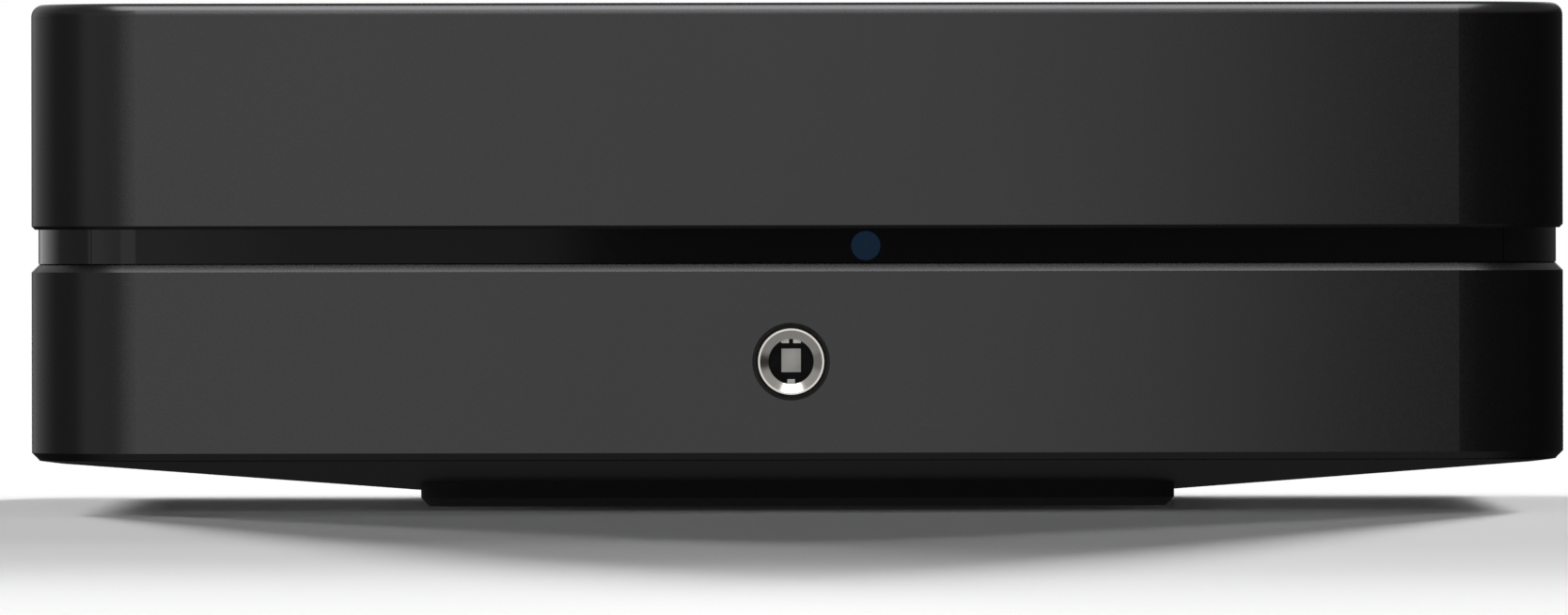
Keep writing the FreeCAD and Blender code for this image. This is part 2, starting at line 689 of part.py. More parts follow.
def coaxial_z():
    return BOARD_TOP + COAXIAL_BODY / 2


def panel_slot(width, height, x, z):
    return box(x - width / 2 - CUTOUT_GAP, x + width / 2 + CUTOUT_GAP, PANEL_INNER_Y, PANEL_OUTER_Y,
               z - height / 2 - CUTOUT_GAP, z + height / 2 + CUTOUT_GAP)


def panel_hole(radius, sides, x, z):
    return prism_y(radius + CUTOUT_GAP, sides, x, z, PANEL_INNER_Y, PANEL_OUTER_Y)


def jack_plate_blank():
    left = JACK_XS[-1] - JACK_WIDTH / 2 - JACK_PLATE_MARGIN
    right = COAXIAL_X + COAXIAL_BODY / 2 + JACK_PLATE_MARGIN
    return box(left, right, PANEL_INNER_Y, PANEL_OUTER_Y,
               BOARD_TOP - JACK_PLATE_RISE, BOARD_TOP + COAXIAL_BODY + JACK_PLATE_RISE)


def rear_panel():
    plate = bar(0, REAR_WIDTH + 2 * PANEL_LAP, PANEL_INNER_Y, PANEL_OUTER_Y,
                REAR_LOW_Z - PANEL_LAP, REAR_HIGH_Z + PANEL_LAP)
    cuts = [panel_slot(NOSE_WIDTH, NOSE_HEIGHT, INLET_X, inlet_z())]
    cuts.append(panel_slot(NETWORK_WIDTH, NETWORK_HEIGHT, NETWORK_X, BOARD_TOP + NETWORK_HEIGHT / 2))
    cuts.append(panel_slot(DATA_WIDTH, DATA_HEIGHT, DATA_X, BOARD_TOP + DATA_HEIGHT / 2))
    cuts.append(panel_slot(VIDEO_WIDTH, VIDEO_HEIGHT, VIDEO_X, BOARD_TOP + VIDEO_HEIGHT / 2))
    cuts.append(jack_plate_blank())
    cuts += [panel_hole(SPIGOT_RADIUS, HEX_SIDES, x, POST_Z) for x in POST_XS]
    cuts += [panel_hole(PANEL_SCREW_RADIUS, FEW_SIDES, x, z) for x, z in panel_screw_places()]
    return plate.cut(cuts)


def panel_screws():
    screws = []
    for x, z in panel_screw_places():
        head_y = PANEL_OUTER_Y + PANEL_HEAD_HEIGHT
        shank = prism_y(PANEL_SCREW_RADIUS, FEW_SIDES, x, z, PANEL_OUTER_Y - PANEL_SCREW_LENGTH,
                        head_y - PANEL_HEAD_HEIGHT / 2)
        head = prism_y(PANEL_HEAD_RADIUS, MANY_SIDES, x, z, PANEL_OUTER_Y, head_y)
        screws.append(joined(shank, head))
    return Part.makeCompound(screws)


# Chassis tray with two upright tabs that carry the rear panel
def chassis_tray():
    inset = SHELL_WALL + TRAY_GAP
    plate = case_prism(inset, TRAY_Z, TRAY_TOP)
    behind = box(-CASE_WIDTH, CASE_WIDTH, PANEL_INNER_Y, BACK_Y, TRAY_Z, TRAY_TOP)
    tab_y = PANEL_INNER_Y - TRAY_THICKNESS
    tabs = [bar(x, TAB_WIDTH, tab_y, PANEL_INNER_Y, TRAY_Z, REAR_HIGH_Z - TAB_TOP_GAP)
            for x in (-TAB_X, TAB_X)]
    shank_radius = CASE_SCREW_RADIUS + HOLE_CLEARANCE
    holes = [prism_z(shank_radius, FEW_SIDES, x, y, TRAY_Z, TRAY_TOP) for x, y in column_places()]
    tapped_radius = PANEL_SCREW_RADIUS + THREAD_CLEARANCE
    holes += [prism_y(tapped_radius, FEW_SIDES, x, z, tab_y, PANEL_INNER_Y) for x, z in panel_screw_places()]
    return joined(plate.cut(behind), *tabs).cut(holes)


# Boards, spacers and board screws
def place_pair(left, right, y):
    return [(left + BOARD_EDGE, y), (right - BOARD_EDGE, y)]


def power_places():
    front = BOARD_REAR_Y - POWER_BOARD_LENGTH + BOARD_EDGE
    rear = PANEL_INNER_Y - INLET_LENGTH - BOARD_EDGE
    return place_pair(POWER_LEFT, POWER_RIGHT, front) + place_pair(POWER_LEFT, POWER_RIGHT, rear)


def main_front_places():
    return place_pair(MAIN_LEFT, BOARD_RIGHT, BOARD_REAR_Y - MAIN_BOARD_LENGTH + BOARD_EDGE)


def amp_front_places():
    return place_pair(MAIN_LEFT, BOARD_RIGHT, BOARD_REAR_Y - AMP_BOARD_LENGTH + BOARD_EDGE)


def stack_places():
    return place_pair(MAIN_LEFT, BOARD_RIGHT, PANEL_INNER_Y - STACK_SETBACK)


def board(left, right, length, z0, holes):
    plate = box(left, right, BOARD_REAR_Y - length, BOARD_REAR_Y, z0, z0 + BOARD_THICKNESS)
    hole_radius = STUD_RADIUS + HOLE_CLEARANCE
    return plate.cut([prism_z(hole_radius, HEX_SIDES, x, y, z0, z0 + BOARD_THICKNESS) for x, y in holes])


def power_board():
    return board(POWER_LEFT, POWER_RIGHT, POWER_BOARD_LENGTH, BOARD_Z, power_places())


def main_board():
    return board(MAIN_LEFT, BOARD_RIGHT, MAIN_BOARD_LENGTH, BOARD_Z, main_front_places() + stack_places())


def amplifier_board():
    return board(MAIN_LEFT, BOARD_RIGHT, AMP_BOARD_LENGTH, AMP_BOARD_Z, amp_front_places() + stack_places())


def spacer(x, y, z0, z1):
    pillar = prism_z(SPACER_RADIUS, HEX_SIDES, x, y, z0, z1)
    return pillar.cut(prism_z(STUD_RADIUS + THREAD_CLEARANCE, HEX_SIDES, x, y, z1 - STUD_LENGTH, z1))


def board_spacers():
    low_places = power_places() + main_front_places() + stack_places()
    spacers = [spacer(x, y, TRAY_TOP, BOARD_Z) for x, y in low_places]
    spacers += [spacer(x, y, TRAY_TOP, AMP_BOARD_Z) for x, y in amp_front_places()]
    for x, y in stack_places():
        stud = prism_z(STUD_RADIUS, HEX_SIDES, x, y, BOARD_TOP - STUD_LENGTH, BOARD_TOP + BOARD_THICKNESS)
        spacers.append(joined(spacer(x, y, BOARD_TOP, AMP_BOARD_Z), stud))
    return Part.makeCompound(spacers)


def board_screw(x, y, top):
    shank = prism_z(STUD_RADIUS, HEX_SIDES, x, y, top - STUD_LENGTH, top + BOARD_HEAD_HEIGHT / 2)
    return joined(shank, prism_z(BOARD_HEAD_RADIUS, HEX_SIDES, x, y, top, top + BOARD_HEAD_HEIGHT))


def board_screws():
    screws = [board_screw(x, y, BOARD_TOP) for x, y in power_places() + main_front_places()]
    screws += [board_screw(x, y, AMP_BOARD_TOP) for x, y in amp_front_places() + stack_places()]
    return Part.makeCompound(screws)


# Binding posts: insulating base, drilled stem, clamp washer and knurled knob
def base_plate(middle, y0, y1):
    return bar(middle, POST_PITCH + 2 * BASE_END_MARGIN, y0, y1, POST_Z - BASE_HEIGHT / 2,
               POST_Z + BASE_HEIGHT / 2)


def post_bases():
    hole_radius = (STEM_RADIUS + RUNNING_GAP) / math.cos(math.pi / FEW_SIDES)
    back_y = PANEL_INNER_Y - INNER_WASHER
    plates = []
    for pair in (POST_XS[:2], POST_XS[2:]):
        spigots = [prism_y(SPIGOT_RADIUS, HEX_SIDES, x, POST_Z, PANEL_INNER_Y, BASE_TOP_Y) for x in pair]
        bores = [prism_y(hole_radius, FEW_SIDES, x, POST_Z, back_y, BASE_TOP_Y) for x in pair]
        middle = sum(pair) / len(pair)
        plates.append(joined(base_plate(middle, PANEL_OUTER_Y, BASE_TOP_Y), *spigots).cut(bores))
        plates.append(base_plate(middle, back_y, PANEL_INNER_Y).cut(bores))
    return Part.makeCompound(plates)


def post_stem(x):
    rod = rod_y(STEM_RADIUS, x, POST_Z, NUT_Y, STEM_TIP_Y)
    nut = prism_y(NUT_RADIUS, HEX_SIDES, x, POST_Z, NUT_Y, NUT_Y + NUT_THICKNESS)
    strip = bar(x, TAB_STRIP_WIDTH, NUT_Y - TAB_STRIP_THICKNESS, NUT_Y, AMP_BOARD_TOP, POST_Z)
    bore = rod_y(BANANA_BORE_RADIUS, x, POST_Z, STEM_TIP_Y - BANANA_BORE_LENGTH, STEM_TIP_Y)
    wire_y = BASE_TOP_Y + WIRE_HOLE_SETBACK
    wire_hole = prism_z(WIRE_HOLE_RADIUS, HEX_SIDES, x, wire_y, POST_Z - NUT_RADIUS, POST_Z + NUT_RADIUS)
    return joined(rod, nut, strip).cut([bore, wire_hole])


def post_washer(x):
    washer = prism_y(WASHER_RADIUS, MANY_SIDES, x, POST_Z, WASHER_Y, WASHER_Y + WASHER_THICKNESS)
    bore_radius = (STEM_RADIUS + RUNNING_GAP) / math.cos(math.pi / FEW_SIDES)
    return washer.cut(prism_y(bore_radius, FEW_SIDES, x, POST_Z, WASHER_Y, WASHER_Y + WASHER_THICKNESS))


def knurled_grip():
    corners = []
    for index in range(2 * KNURL_COUNT):
        radius = KNOB_RADIUS - KNURL_DEPTH * (index % 2)
        turn = math.pi * index / KNURL_COUNT
        corners.append(vector(radius * math.cos(turn), KNOB_Y, radius * math.sin(turn)))
    grip_length = KNOB_LENGTH - KNOB_NOSE_LENGTH
    return Part.Face(Part.makePolygon(corners + corners[:1])).extrude(vector(0, grip_length, 0))


def post_knob(x):
    nose = prism_y(KNOB_NOSE_RADIUS, MANY_SIDES, 0, 0, KNOB_Y, KNOB_TIP_Y)
    knob = joined(knurled_grip(), nose).cut(rod_y(STEM_RADIUS + RUNNING_GAP, 0, 0, KNOB_Y, KNOB_TIP_Y))
    knob.translate(vector(x, 0, POST_Z))
    return knob


# Mains inlet for a two-pole figure-of-eight connector
def mains_pins():
    floor_y = PANEL_OUTER_Y + NOSE_PROUD - INLET_CAVITY_DEPTH
    return Part.makeCompound([
        prism_y(INLET_PIN_RADIUS, MANY_SIDES, INLET_X + side * INLET_PIN_SPACING / 2, inlet_z(),
                floor_y - INLET_PIN_ROOT, PANEL_OUTER_Y + NOSE_PROUD - INLET_PIN_SETBACK)
        for side in (-1, 1)])


def mains_inlet():
    mouth_y = PANEL_OUTER_Y + NOSE_PROUD
    floor_y = mouth_y - INLET_CAVITY_DEPTH
    body = bar(INLET_X, INLET_WIDTH, PANEL_INNER_Y - INLET_LENGTH, PANEL_INNER_Y,
               BOARD_TOP, BOARD_TOP + INLET_HEIGHT)
    nose = bar(INLET_X, NOSE_WIDTH, PANEL_INNER_Y, mouth_y, inlet_z() - NOSE_HEIGHT / 2,
               inlet_z() + NOSE_HEIGHT / 2)
    lobes = [rod_y(INLET_LOBE_RADIUS, INLET_X + side * INLET_PIN_SPACING / 2, inlet_z(), floor_y, mouth_y)
             for side in (-1, 1)]
    waist = bar(INLET_X, INLET_PIN_SPACING, floor_y, mouth_y,
                inlet_z() - INLET_WAIST_HEIGHT / 2, inlet_z() + INLET_WAIST_HEIGHT / 2)
    return joined(body, nose).cut(lobes + [waist] + mains_pins().Solids)


# Signal sockets, all standing on the main board and reaching through the rear panel
def network_floor():
    return BOARD_TOP + NETWORK_FLOOR


def network_port():
    mouth_y = PANEL_OUTER_Y + NETWORK_PROUD
    inner_y = mouth_y - NETWORK_CAVITY_DEPTH
    body = bar(NETWORK_X, NETWORK_WIDTH, mouth_y - NETWORK_LENGTH, mouth_y,
               BOARD_TOP, BOARD_TOP + NETWORK_HEIGHT)
    cavity_top = network_floor() + NETWORK_CAVITY_HEIGHT
    cavity = bar(NETWORK_X, NETWORK_CAVITY_WIDTH, inner_y, mouth_y,
                 network_floor(), cavity_top)
    latch = bar(NETWORK_X, NETWORK_LATCH_WIDTH, inner_y, mouth_y,
                cavity_top, cavity_top + NETWORK_LATCH_HEIGHT)
    return body.cut([cavity, latch])


def network_contacts():
    inner_y = PANEL_OUTER_Y + NETWORK_PROUD - NETWORK_CAVITY_DEPTH
    contacts = []
    top = network_floor() + NETWORK_CONTACT_WIDTH
    for index in range(NETWORK_CONTACTS):
        x = NETWORK_X + (index - (NETWORK_CONTACTS - 1) / 2) * NETWORK_CONTACT_PITCH
        contacts.append(bar(x, NETWORK_CONTACT_WIDTH, inner_y,
                            inner_y + NETWORK_CONTACT_LENGTH, network_floor(), top))
    return Part.makeCompound(contacts)


def chamfered_prism(width, height, z0, y0, y1):
    left = VIDEO_X - width / 2
    right = VIDEO_X + width / 2
    shoulder_z = z0 + VIDEO_CHAMFER
    corners = [vector(left + VIDEO_CHAMFER, y0, z0), vector(right - VIDEO_CHAMFER, y0, z0),
               vector(right, y0, shoulder_z), vector(right, y0, z0 + height),
               vector(left, y0, z0 + height), vector(left, y0, shoulder_z)]
    return Part.Face(Part.makePolygon(corners + corners[:1])).extrude(vector(0, y1 - y0, 0))


def video_port():
    mouth_y = PANEL_OUTER_Y + PORT_PROUD
    end_y = mouth_y - VIDEO_LENGTH
    shield = chamfered_prism(VIDEO_WIDTH, VIDEO_HEIGHT, BOARD_TOP, end_y, mouth_y)
    cavity = chamfered_prism(VIDEO_WIDTH - 2 * PORT_WALL, VIDEO_HEIGHT - 2 * PORT_WALL,
                             BOARD_TOP + PORT_WALL, end_y + PORT_END_WALL, mouth_y)
    return shield.cut(cavity)


def video_port_tongue():
    mouth_y = PANEL_OUTER_Y + PORT_PROUD
    middle = BOARD_TOP + VIDEO_HEIGHT / 2
    return bar(VIDEO_X, VIDEO_TONGUE_WIDTH, mouth_y - VIDEO_LENGTH + PORT_END_WALL, mouth_y - TONGUE_SETBACK,
               middle - VIDEO_TONGUE_HEIGHT / 2, middle + VIDEO_TONGUE_HEIGHT / 2)


def data_port():
    mouth_y = PANEL_OUTER_Y + PORT_PROUD
    shield = bar(DATA_X, DATA_WIDTH, mouth_y - DATA_LENGTH, mouth_y,
                 BOARD_TOP, BOARD_TOP + DATA_HEIGHT)
    cavity = box(DATA_X - DATA_WIDTH / 2 + PORT_WALL, DATA_X + DATA_WIDTH / 2 - PORT_WALL,
                 mouth_y - DATA_LENGTH + PORT_END_WALL, mouth_y, BOARD_TOP + PORT_WALL,
                 BOARD_TOP + DATA_HEIGHT - PORT_WALL)
    return shield.cut(cavity)


def data_port_tongue():
    mouth_y = PANEL_OUTER_Y + PORT_PROUD
    top = BOARD_TOP + DATA_HEIGHT - PORT_WALL - DATA_TONGUE_SIDE
    return bar(DATA_X, DATA_TONGUE_WIDTH, mouth_y - DATA_LENGTH + PORT_END_WALL,
               mouth_y - TONGUE_SETBACK, top - DATA_TONGUE_HEIGHT, top)


def coaxial_socket():
    tip_y = PANEL_OUTER_Y + COAXIAL_FLANGE + COAXIAL_LENGTH
    barrel = rod_y(COAXIAL_RADIUS, COAXIAL_X, coaxial_z(), PANEL_INNER_Y, tip_y)
    flange_y = PANEL_OUTER_Y + COAXIAL_FLANGE
    flange = prism_y(COAXIAL_FLANGE_RADIUS, MANY_SIDES, COAXIAL_X, coaxial_z(), PANEL_OUTER_Y, flange_y)
    hollow = rod_y(COAXIAL_RADIUS - COAXIAL_WALL, COAXIAL_X, coaxial_z(), PANEL_INNER_Y, tip_y)
    return joined(barrel, flange).cut(hollow)


def coaxial_insulator():
    tip_y = PANEL_OUTER_Y + COAXIAL_FLANGE + COAXIAL_LENGTH
    body = bar(COAXIAL_X, COAXIAL_BODY, PANEL_INNER_Y - COAXIAL_BODY_LENGTH,
               PANEL_INNER_Y, BOARD_TOP, BOARD_TOP + COAXIAL_BODY)
    sleeve = prism_y(COAXIAL_RADIUS - COAXIAL_WALL, MANY_SIDES, COAXIAL_X, coaxial_z(),
                     PANEL_INNER_Y - COAXIAL_WALL, tip_y - COAXIAL_WALL)
    bore_y = tip_y - COAXIAL_WALL - COAXIAL_BORE_LENGTH
    bore = rod_y(COAXIAL_BORE_RADIUS, COAXIAL_X, coaxial_z(), bore_y, tip_y)
    return joined(body, sleeve).cut(bore)


# The moulded plate that the coaxial socket and the mini jacks share, snapped into the rear panel
def jack_plate():
    holes = [panel_hole(COAXIAL_RADIUS, MANY_SIDES, COAXIAL_X, coaxial_z())]
    holes += [panel_hole(JACK_NOSE_RADIUS, MANY_SIDES, x, jack_z()) for x in JACK_XS]
    return jack_plate_blank().cut(holes)


def mini_jacks():
    jacks = []
    for x in JACK_XS:
        mouth_y = PANEL_OUTER_Y + JACK_PROUD
        body = bar(x, JACK_WIDTH, PANEL_INNER_Y - JACK_LENGTH, PANEL_INNER_Y,
                   BOARD_TOP, BOARD_TOP + JACK_HEIGHT)
        nose = prism_y(JACK_NOSE_RADIUS, MANY_SIDES, x, jack_z(), PANEL_INNER_Y - JACK_PROUD, mouth_y)
        bore = rod_y(JACK_BORE_RADIUS, x, jack_z(), mouth_y - JACK_BORE_LENGTH, mouth_y)
        jacks.append(joined(body, nose).cut(bore))
    return Part.makeCompound([jack_plate()] + jacks)


# Power supply
def fuse():
    x = POWER_X - FUSE_OFFSET
    y1 = PANEL_INNER_Y - FUSE_START
    y0 = y1 - FUSE_LENGTH
    z = BOARD_TOP + FUSE_RISE + FUSE_RADIUS
    tube = prism_y(FUSE_RADIUS, MANY_SIDES, x, z, y0, y1)
    middle = [y0 + FUSE_CAP_LENGTH / 2, y1 - FUSE_CAP_LENGTH / 2]
    clips = [box(x - FUSE_RADIUS, x + FUSE_RADIUS, y - FUSE_CLIP_WIDTH / 2, y + FUSE_CLIP_WIDTH / 2,
                 BOARD_TOP, z).cut(tube) for y in middle]
    return Part.makeCompound([tube] + clips)


def mains_choke():
    x = POWER_X + CHOKE_OFFSET
    y = PANEL_INNER_Y - CHOKE_Y
    base = block(x, y, 2 * CHOKE_RADIUS, 2 * CHOKE_RADIUS, BOARD_TOP, CHOKE_BASE)
    ring_z = BOARD_TOP + CHOKE_BASE
    ring = prism_z(CHOKE_RADIUS, MANY_SIDES, x, y, ring_z, ring_z + CHOKE_HEIGHT)
    hole = prism_z(CHOKE_HOLE_RADIUS, MANY_SIDES, x, y, ring_z, ring_z + CHOKE_HEIGHT)
    return Part.makeCompound([base, ring.cut(hole)])


def transformer_core():
    y = PANEL_INNER_Y - CORE_Y
    core = block(POWER_X, y, CORE_WIDTH, CORE_DEPTH, BOARD_TOP, CORE_HEIGHT)
    window_width = (CORE_WIDTH - CORE_CENTRE_LEG) / 2 - CORE_LEG
    window_x = (CORE_CENTRE_LEG + window_width) / 2
    windows = [block(POWER_X + side * window_x, y, window_width, 2 * CORE_DEPTH, BOARD_TOP + CORE_LEG,
                     CORE_HEIGHT - 2 * CORE_LEG) for side in (-1, 1)]
    return core.cut(windows)


def transformer_winding():
    y = PANEL_INNER_Y - CORE_Y
    winding = block(POWER_X, y, CORE_CENTRE_LEG + 2 * WINDING_BUILD, CORE_DEPTH + 2 * WINDING_BUILD,
                    BOARD_TOP + CORE_LEG, CORE_HEIGHT - 2 * CORE_LEG)
    return winding.cut(transformer_core())


def power_capacitors():
    cans = []
    for side in (-1, 1):
        big_x = POWER_X + side * BIG_CAP_SPACING / 2
        small_x = POWER_X + side * SMALL_CAP_SPACING / 2
        big_y = PANEL_INNER_Y - BIG_CAP_Y
        small_y = PANEL_INNER_Y - SMALL_CAP_Y
        cans.append(prism_z(BIG_CAP_RADIUS, MANY_SIDES, big_x, big_y, BOARD_TOP, BOARD_TOP + BIG_CAP_HEIGHT))
        cans.append(prism_z(SMALL_CAP_RADIUS, MANY_SIDES, small_x, small_y, BOARD_TOP,
                            BOARD_TOP + SMALL_CAP_HEIGHT))
    return Part.makeCompound(cans)


def fin_centres(middle, span, thickness, count):
    pitch = (span - thickness) / (count - 1)
    return [middle - (span - thickness) / 2 + index * pitch for index in range(count)]


def power_heatsink():
    y = PANEL_INNER_Y - SINK_Y
    base = bar(POWER_X, SINK_WIDTH, y - SINK_BASE, y, BOARD_TOP, BOARD_TOP + SINK_HEIGHT)
    fins = [bar(x, SINK_FIN, y - SINK_BASE - SINK_FIN_LENGTH, y - SINK_BASE / 2,
                BOARD_TOP, BOARD_TOP + SINK_HEIGHT)
            for x in fin_centres(POWER_X, SINK_WIDTH, SINK_FIN, SINK_FINS)]
    return joined(base, *fins)


# Amplifier and main board parts
def amplifier_chips():
    y = PANEL_INNER_Y - CHIP_Y
    return Part.makeCompound([block(x, y, CHIP_SIDE, CHIP_SIDE, AMP_BOARD_TOP, CHIP_HEIGHT)
                              for x in (MAIN_X - CHIP_SPACING / 2, MAIN_X + CHIP_SPACING / 2)])


def amplifier_heatsink():
    y = PANEL_INNER_Y - CHIP_Y
    z0 = AMP_BOARD_TOP + CHIP_HEIGHT
    z1 = CEILING_Z - AMP_SINK_HEADROOM
    base = block(MAIN_X, y, AMP_SINK_WIDTH, AMP_SINK_DEPTH, z0, AMP_SINK_BASE)
    fins = [bar(x, AMP_SINK_FIN, y - AMP_SINK_DEPTH / 2, y + AMP_SINK_DEPTH / 2, z0, z1)
            for x in fin_centres(MAIN_X, AMP_SINK_WIDTH, AMP_SINK_FIN, AMP_SINK_FINS)]
    return joined(base, *fins)


def output_places():
    return [MAIN_X + (index - 1.5) * OUTPUT_PITCH for index in range(4)]


def output_inductors():
    y = PANEL_INNER_Y - INDUCTOR_Y
    return Part.makeCompound([block(x, y, INDUCTOR_SIDE, INDUCTOR_SIDE, AMP_BOARD_TOP, INDUCTOR_HEIGHT)
                              for x in output_places()])


def output_capacitors():
    y = PANEL_INNER_Y - FILM_CAP_Y
    return Part.makeCompound([block(x, y, FILM_CAP_WIDTH, FILM_CAP_DEPTH, AMP_BOARD_TOP, FILM_CAP_HEIGHT)
                              for x in output_places()])


def processor():
    x = MAIN_X + PROCESSOR_OFFSET
    y = PANEL_INNER_Y - PROCESSOR_Y
    chip = block(x, y, PROCESSOR_SIDE, PROCESSOR_SIDE, BOARD_TOP, PROCESSOR_HEIGHT)
    z0 = BOARD_TOP + PROCESSOR_HEIGHT
    base = block(x, y, PROCESSOR_SINK_SIDE, PROCESSOR_SINK_SIDE, z0, PROCESSOR_SINK_BASE)
    fins = [block(fin_x, y, PROCESSOR_SINK_FIN, PROCESSOR_SINK_SIDE, z0, PROCESSOR_SINK_HEIGHT)
            for fin_x in fin_centres(x, PROCESSOR_SINK_SIDE, PROCESSOR_SINK_FIN, PROCESSOR_SINK_FINS)]
    return Part.makeCompound([chip, joined(base, *fins)])


def wireless_module():
    x = MAIN_X + RADIO_OFFSET
    y = PANEL_INNER_Y - PROCESSOR_Y
    return block(x, y, RADIO_WIDTH, RADIO_DEPTH, BOARD_TOP, RADIO_HEIGHT)


def antennas():
    middle = CASE_WIDTH / 2 - SHELL_WALL - ANTENNA_THICKNESS / 2
    z = UPPER_Z + ANTENNA_RISE
    return Part.makeCompound([block(x, ANTENNA_Y, ANTENNA_THICKNESS, ANTENNA_LENGTH, z, ANTENNA_HEIGHT)
                              for x in (-middle, middle)])


# All pieces by name
pieces = {
    "upper_shell": upper_shell(),
    "lower_shell": lower_shell(),
    "waist_band": waist_band(),
    "front_window": front_window(),
    "base_pan": base_pan(),
    "foot": foot(),
    "case_screws": case_screws(),
    "touch_glass": touch_glass(),
    "touch_board": touch_board(),
    "status_lens": status_lens(),
    "status_board": status_board(),
    "headphone_bezel": headphone_bezel(),
    "headphone_socket": headphone_socket(),
    "headphone_contacts": headphone_contacts(),
    "headphone_board": headphone_board(),
    "rear_panel": rear_panel(),
    "panel_screws": panel_screws(),
    "chassis_tray": chassis_tray(),
    "board_spacers": board_spacers(),
    "board_screws": board_screws(),
    "power_board": power_board(),
    "main_board": main_board(),
    "amplifier_board": amplifier_board(),
    "mains_inlet": mains_inlet(),
    "mains_pins": mains_pins(),
    "network_port": network_port(),
    "network_contacts": network_contacts(),
    "video_port": video_port(),
    "video_port_tongue": video_port_tongue(),
    "data_port": data_port(),
    "data_port_tongue": data_port_tongue(),
    "coaxial_socket": coaxial_socket(),
    "coaxial_insulator": coaxial_insulator(),
    "mini_jacks": mini_jacks(),
    "fuse": fuse(),
    "mains_choke": mains_choke(),
    "transformer_core": transformer_core(),
    "transformer_winding": transformer_winding(),
    "power_capacitors": power_capacitors(),
    "power_heatsink": power_heatsink(),
    "amplifier_chips": amplifier_chips(),
    "amplifier_heatsink": amplifier_heatsink(),
    "output_inductors": output_inductors(),
    "output_capacitors": output_capacitors(),
    "processor": processor(),
    "wireless_module": wireless_module(),
    "antennas": antennas(),
    "post_bases": post_bases(),
}
for number, place in enumerate(POST_XS, start=1):
    pieces[f"post_stem_{number}"] = post_stem(place)
    pieces[f"post_washer_{number}"] = post_washer(place)
    pieces[f"post_knob_{number}"] = post_knob(place)

os.makedirs("parts", exist_ok=True)
for name, shape in pieces.items():
    shape.exportStep(f"parts/{name}.step")
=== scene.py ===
"""Looks of the compact streaming amplifier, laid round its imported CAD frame.

Blender 4.5. Lengths are metres, as in the frame: +Z up, the front faces -Y, the foot stands on z = 0.
"""
import json
import math

import bmesh
import bpy
from bpy.props import FloatProperty, FloatVectorProperty, IntProperty, PointerProperty
from mathutils import Matrix, Vector


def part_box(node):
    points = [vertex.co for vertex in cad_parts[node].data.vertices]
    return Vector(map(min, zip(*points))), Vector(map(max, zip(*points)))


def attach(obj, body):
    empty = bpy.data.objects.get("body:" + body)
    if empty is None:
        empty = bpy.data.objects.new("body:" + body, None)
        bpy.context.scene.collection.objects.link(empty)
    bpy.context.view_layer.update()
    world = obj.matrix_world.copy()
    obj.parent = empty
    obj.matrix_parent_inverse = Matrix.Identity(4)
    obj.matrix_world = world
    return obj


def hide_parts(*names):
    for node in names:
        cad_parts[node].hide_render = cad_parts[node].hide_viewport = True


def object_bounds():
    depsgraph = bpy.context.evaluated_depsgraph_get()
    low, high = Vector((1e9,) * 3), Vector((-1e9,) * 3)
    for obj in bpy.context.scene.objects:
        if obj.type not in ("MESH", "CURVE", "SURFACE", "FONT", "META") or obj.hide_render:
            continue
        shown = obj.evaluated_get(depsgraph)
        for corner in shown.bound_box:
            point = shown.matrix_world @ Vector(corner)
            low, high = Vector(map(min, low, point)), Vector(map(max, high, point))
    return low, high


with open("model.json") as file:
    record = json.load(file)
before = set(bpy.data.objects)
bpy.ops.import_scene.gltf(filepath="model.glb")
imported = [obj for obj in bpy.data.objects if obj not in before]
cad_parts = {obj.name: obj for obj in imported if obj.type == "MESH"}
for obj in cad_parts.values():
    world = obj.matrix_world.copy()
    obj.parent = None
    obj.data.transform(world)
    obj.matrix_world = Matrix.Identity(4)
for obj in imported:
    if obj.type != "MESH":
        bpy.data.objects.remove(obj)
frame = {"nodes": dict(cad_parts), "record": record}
CAD_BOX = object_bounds()

bl_info = {
    "name": "Streaming Amplifier Looks",
    "version": (1, 0, 0),
    "blender": (4, 5, 0),
    "location": "View3D > Sidebar > Amplifier",
    "description": "Finishes, small fittings and a studio stage for a compact streaming amplifier",
    "category": "Object",
}

MM = 0.001

# The photograph's frame in pixels, and the lens and place of its camera
PHOTO_WIDTH = 1668
PHOTO_CENTRE_X = 834
PHOTO_CENTRE_Y = 327
OBJECT_CENTRE_PX = 848
HORIZON_PX = 249
SENSOR_WIDTH = 36.0
FOCAL_LENGTH = 402.0
CAMERA_DISTANCE = 2.5
CAMERA_HEIGHT = 39.4 * MM
CAMERA_ROLL = math.radians(0.1)
CAMERA_REACH = 30.0

# Places that the CAD gives
FRONT = CAD_BOX[0].y
BACK = CAD_BOX[1].y
MOUNTS = {mount["name"]: Vector(mount["pos_m"]) for mount in frame["record"]["mounts"]}
PANEL_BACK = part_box("rear_panel")[1].y

# The numbers of the binding posts, each with its polarity, and of the small jacks
POST_SIGNS = {1: "plus", 2: "minus", 3: "plus", 4: "minus"}
MINI_JACKS = (1, 2, 3)

# Nearer than this, two places are one
SAME_PLACE = 0.01 * MM

# Rows of corners along a knob's grip, and corners to each of its ridges
GRIP_ROWS = 6
RIDGE_CORNERS = 6

# A button head from its flat top to its seat, in shares of its radius and of its height
HEAD_FLAT = 0.62
HEAD_CURVE = ((0.86, 0.9), (0.97, 0.66), (1.0, 0.3), (1.0, 0.0))
SOCKET_TOP = 0.98

# Noise seldom leaves this part of 0 to 1, so a finish is spread over it
NOISE_LOW = 0.3
NOISE_HIGH = 0.7

# A wave texture has 20 radians to the unit, so one band is this many units
WAVE_UNIT = 2 * math.pi / 20

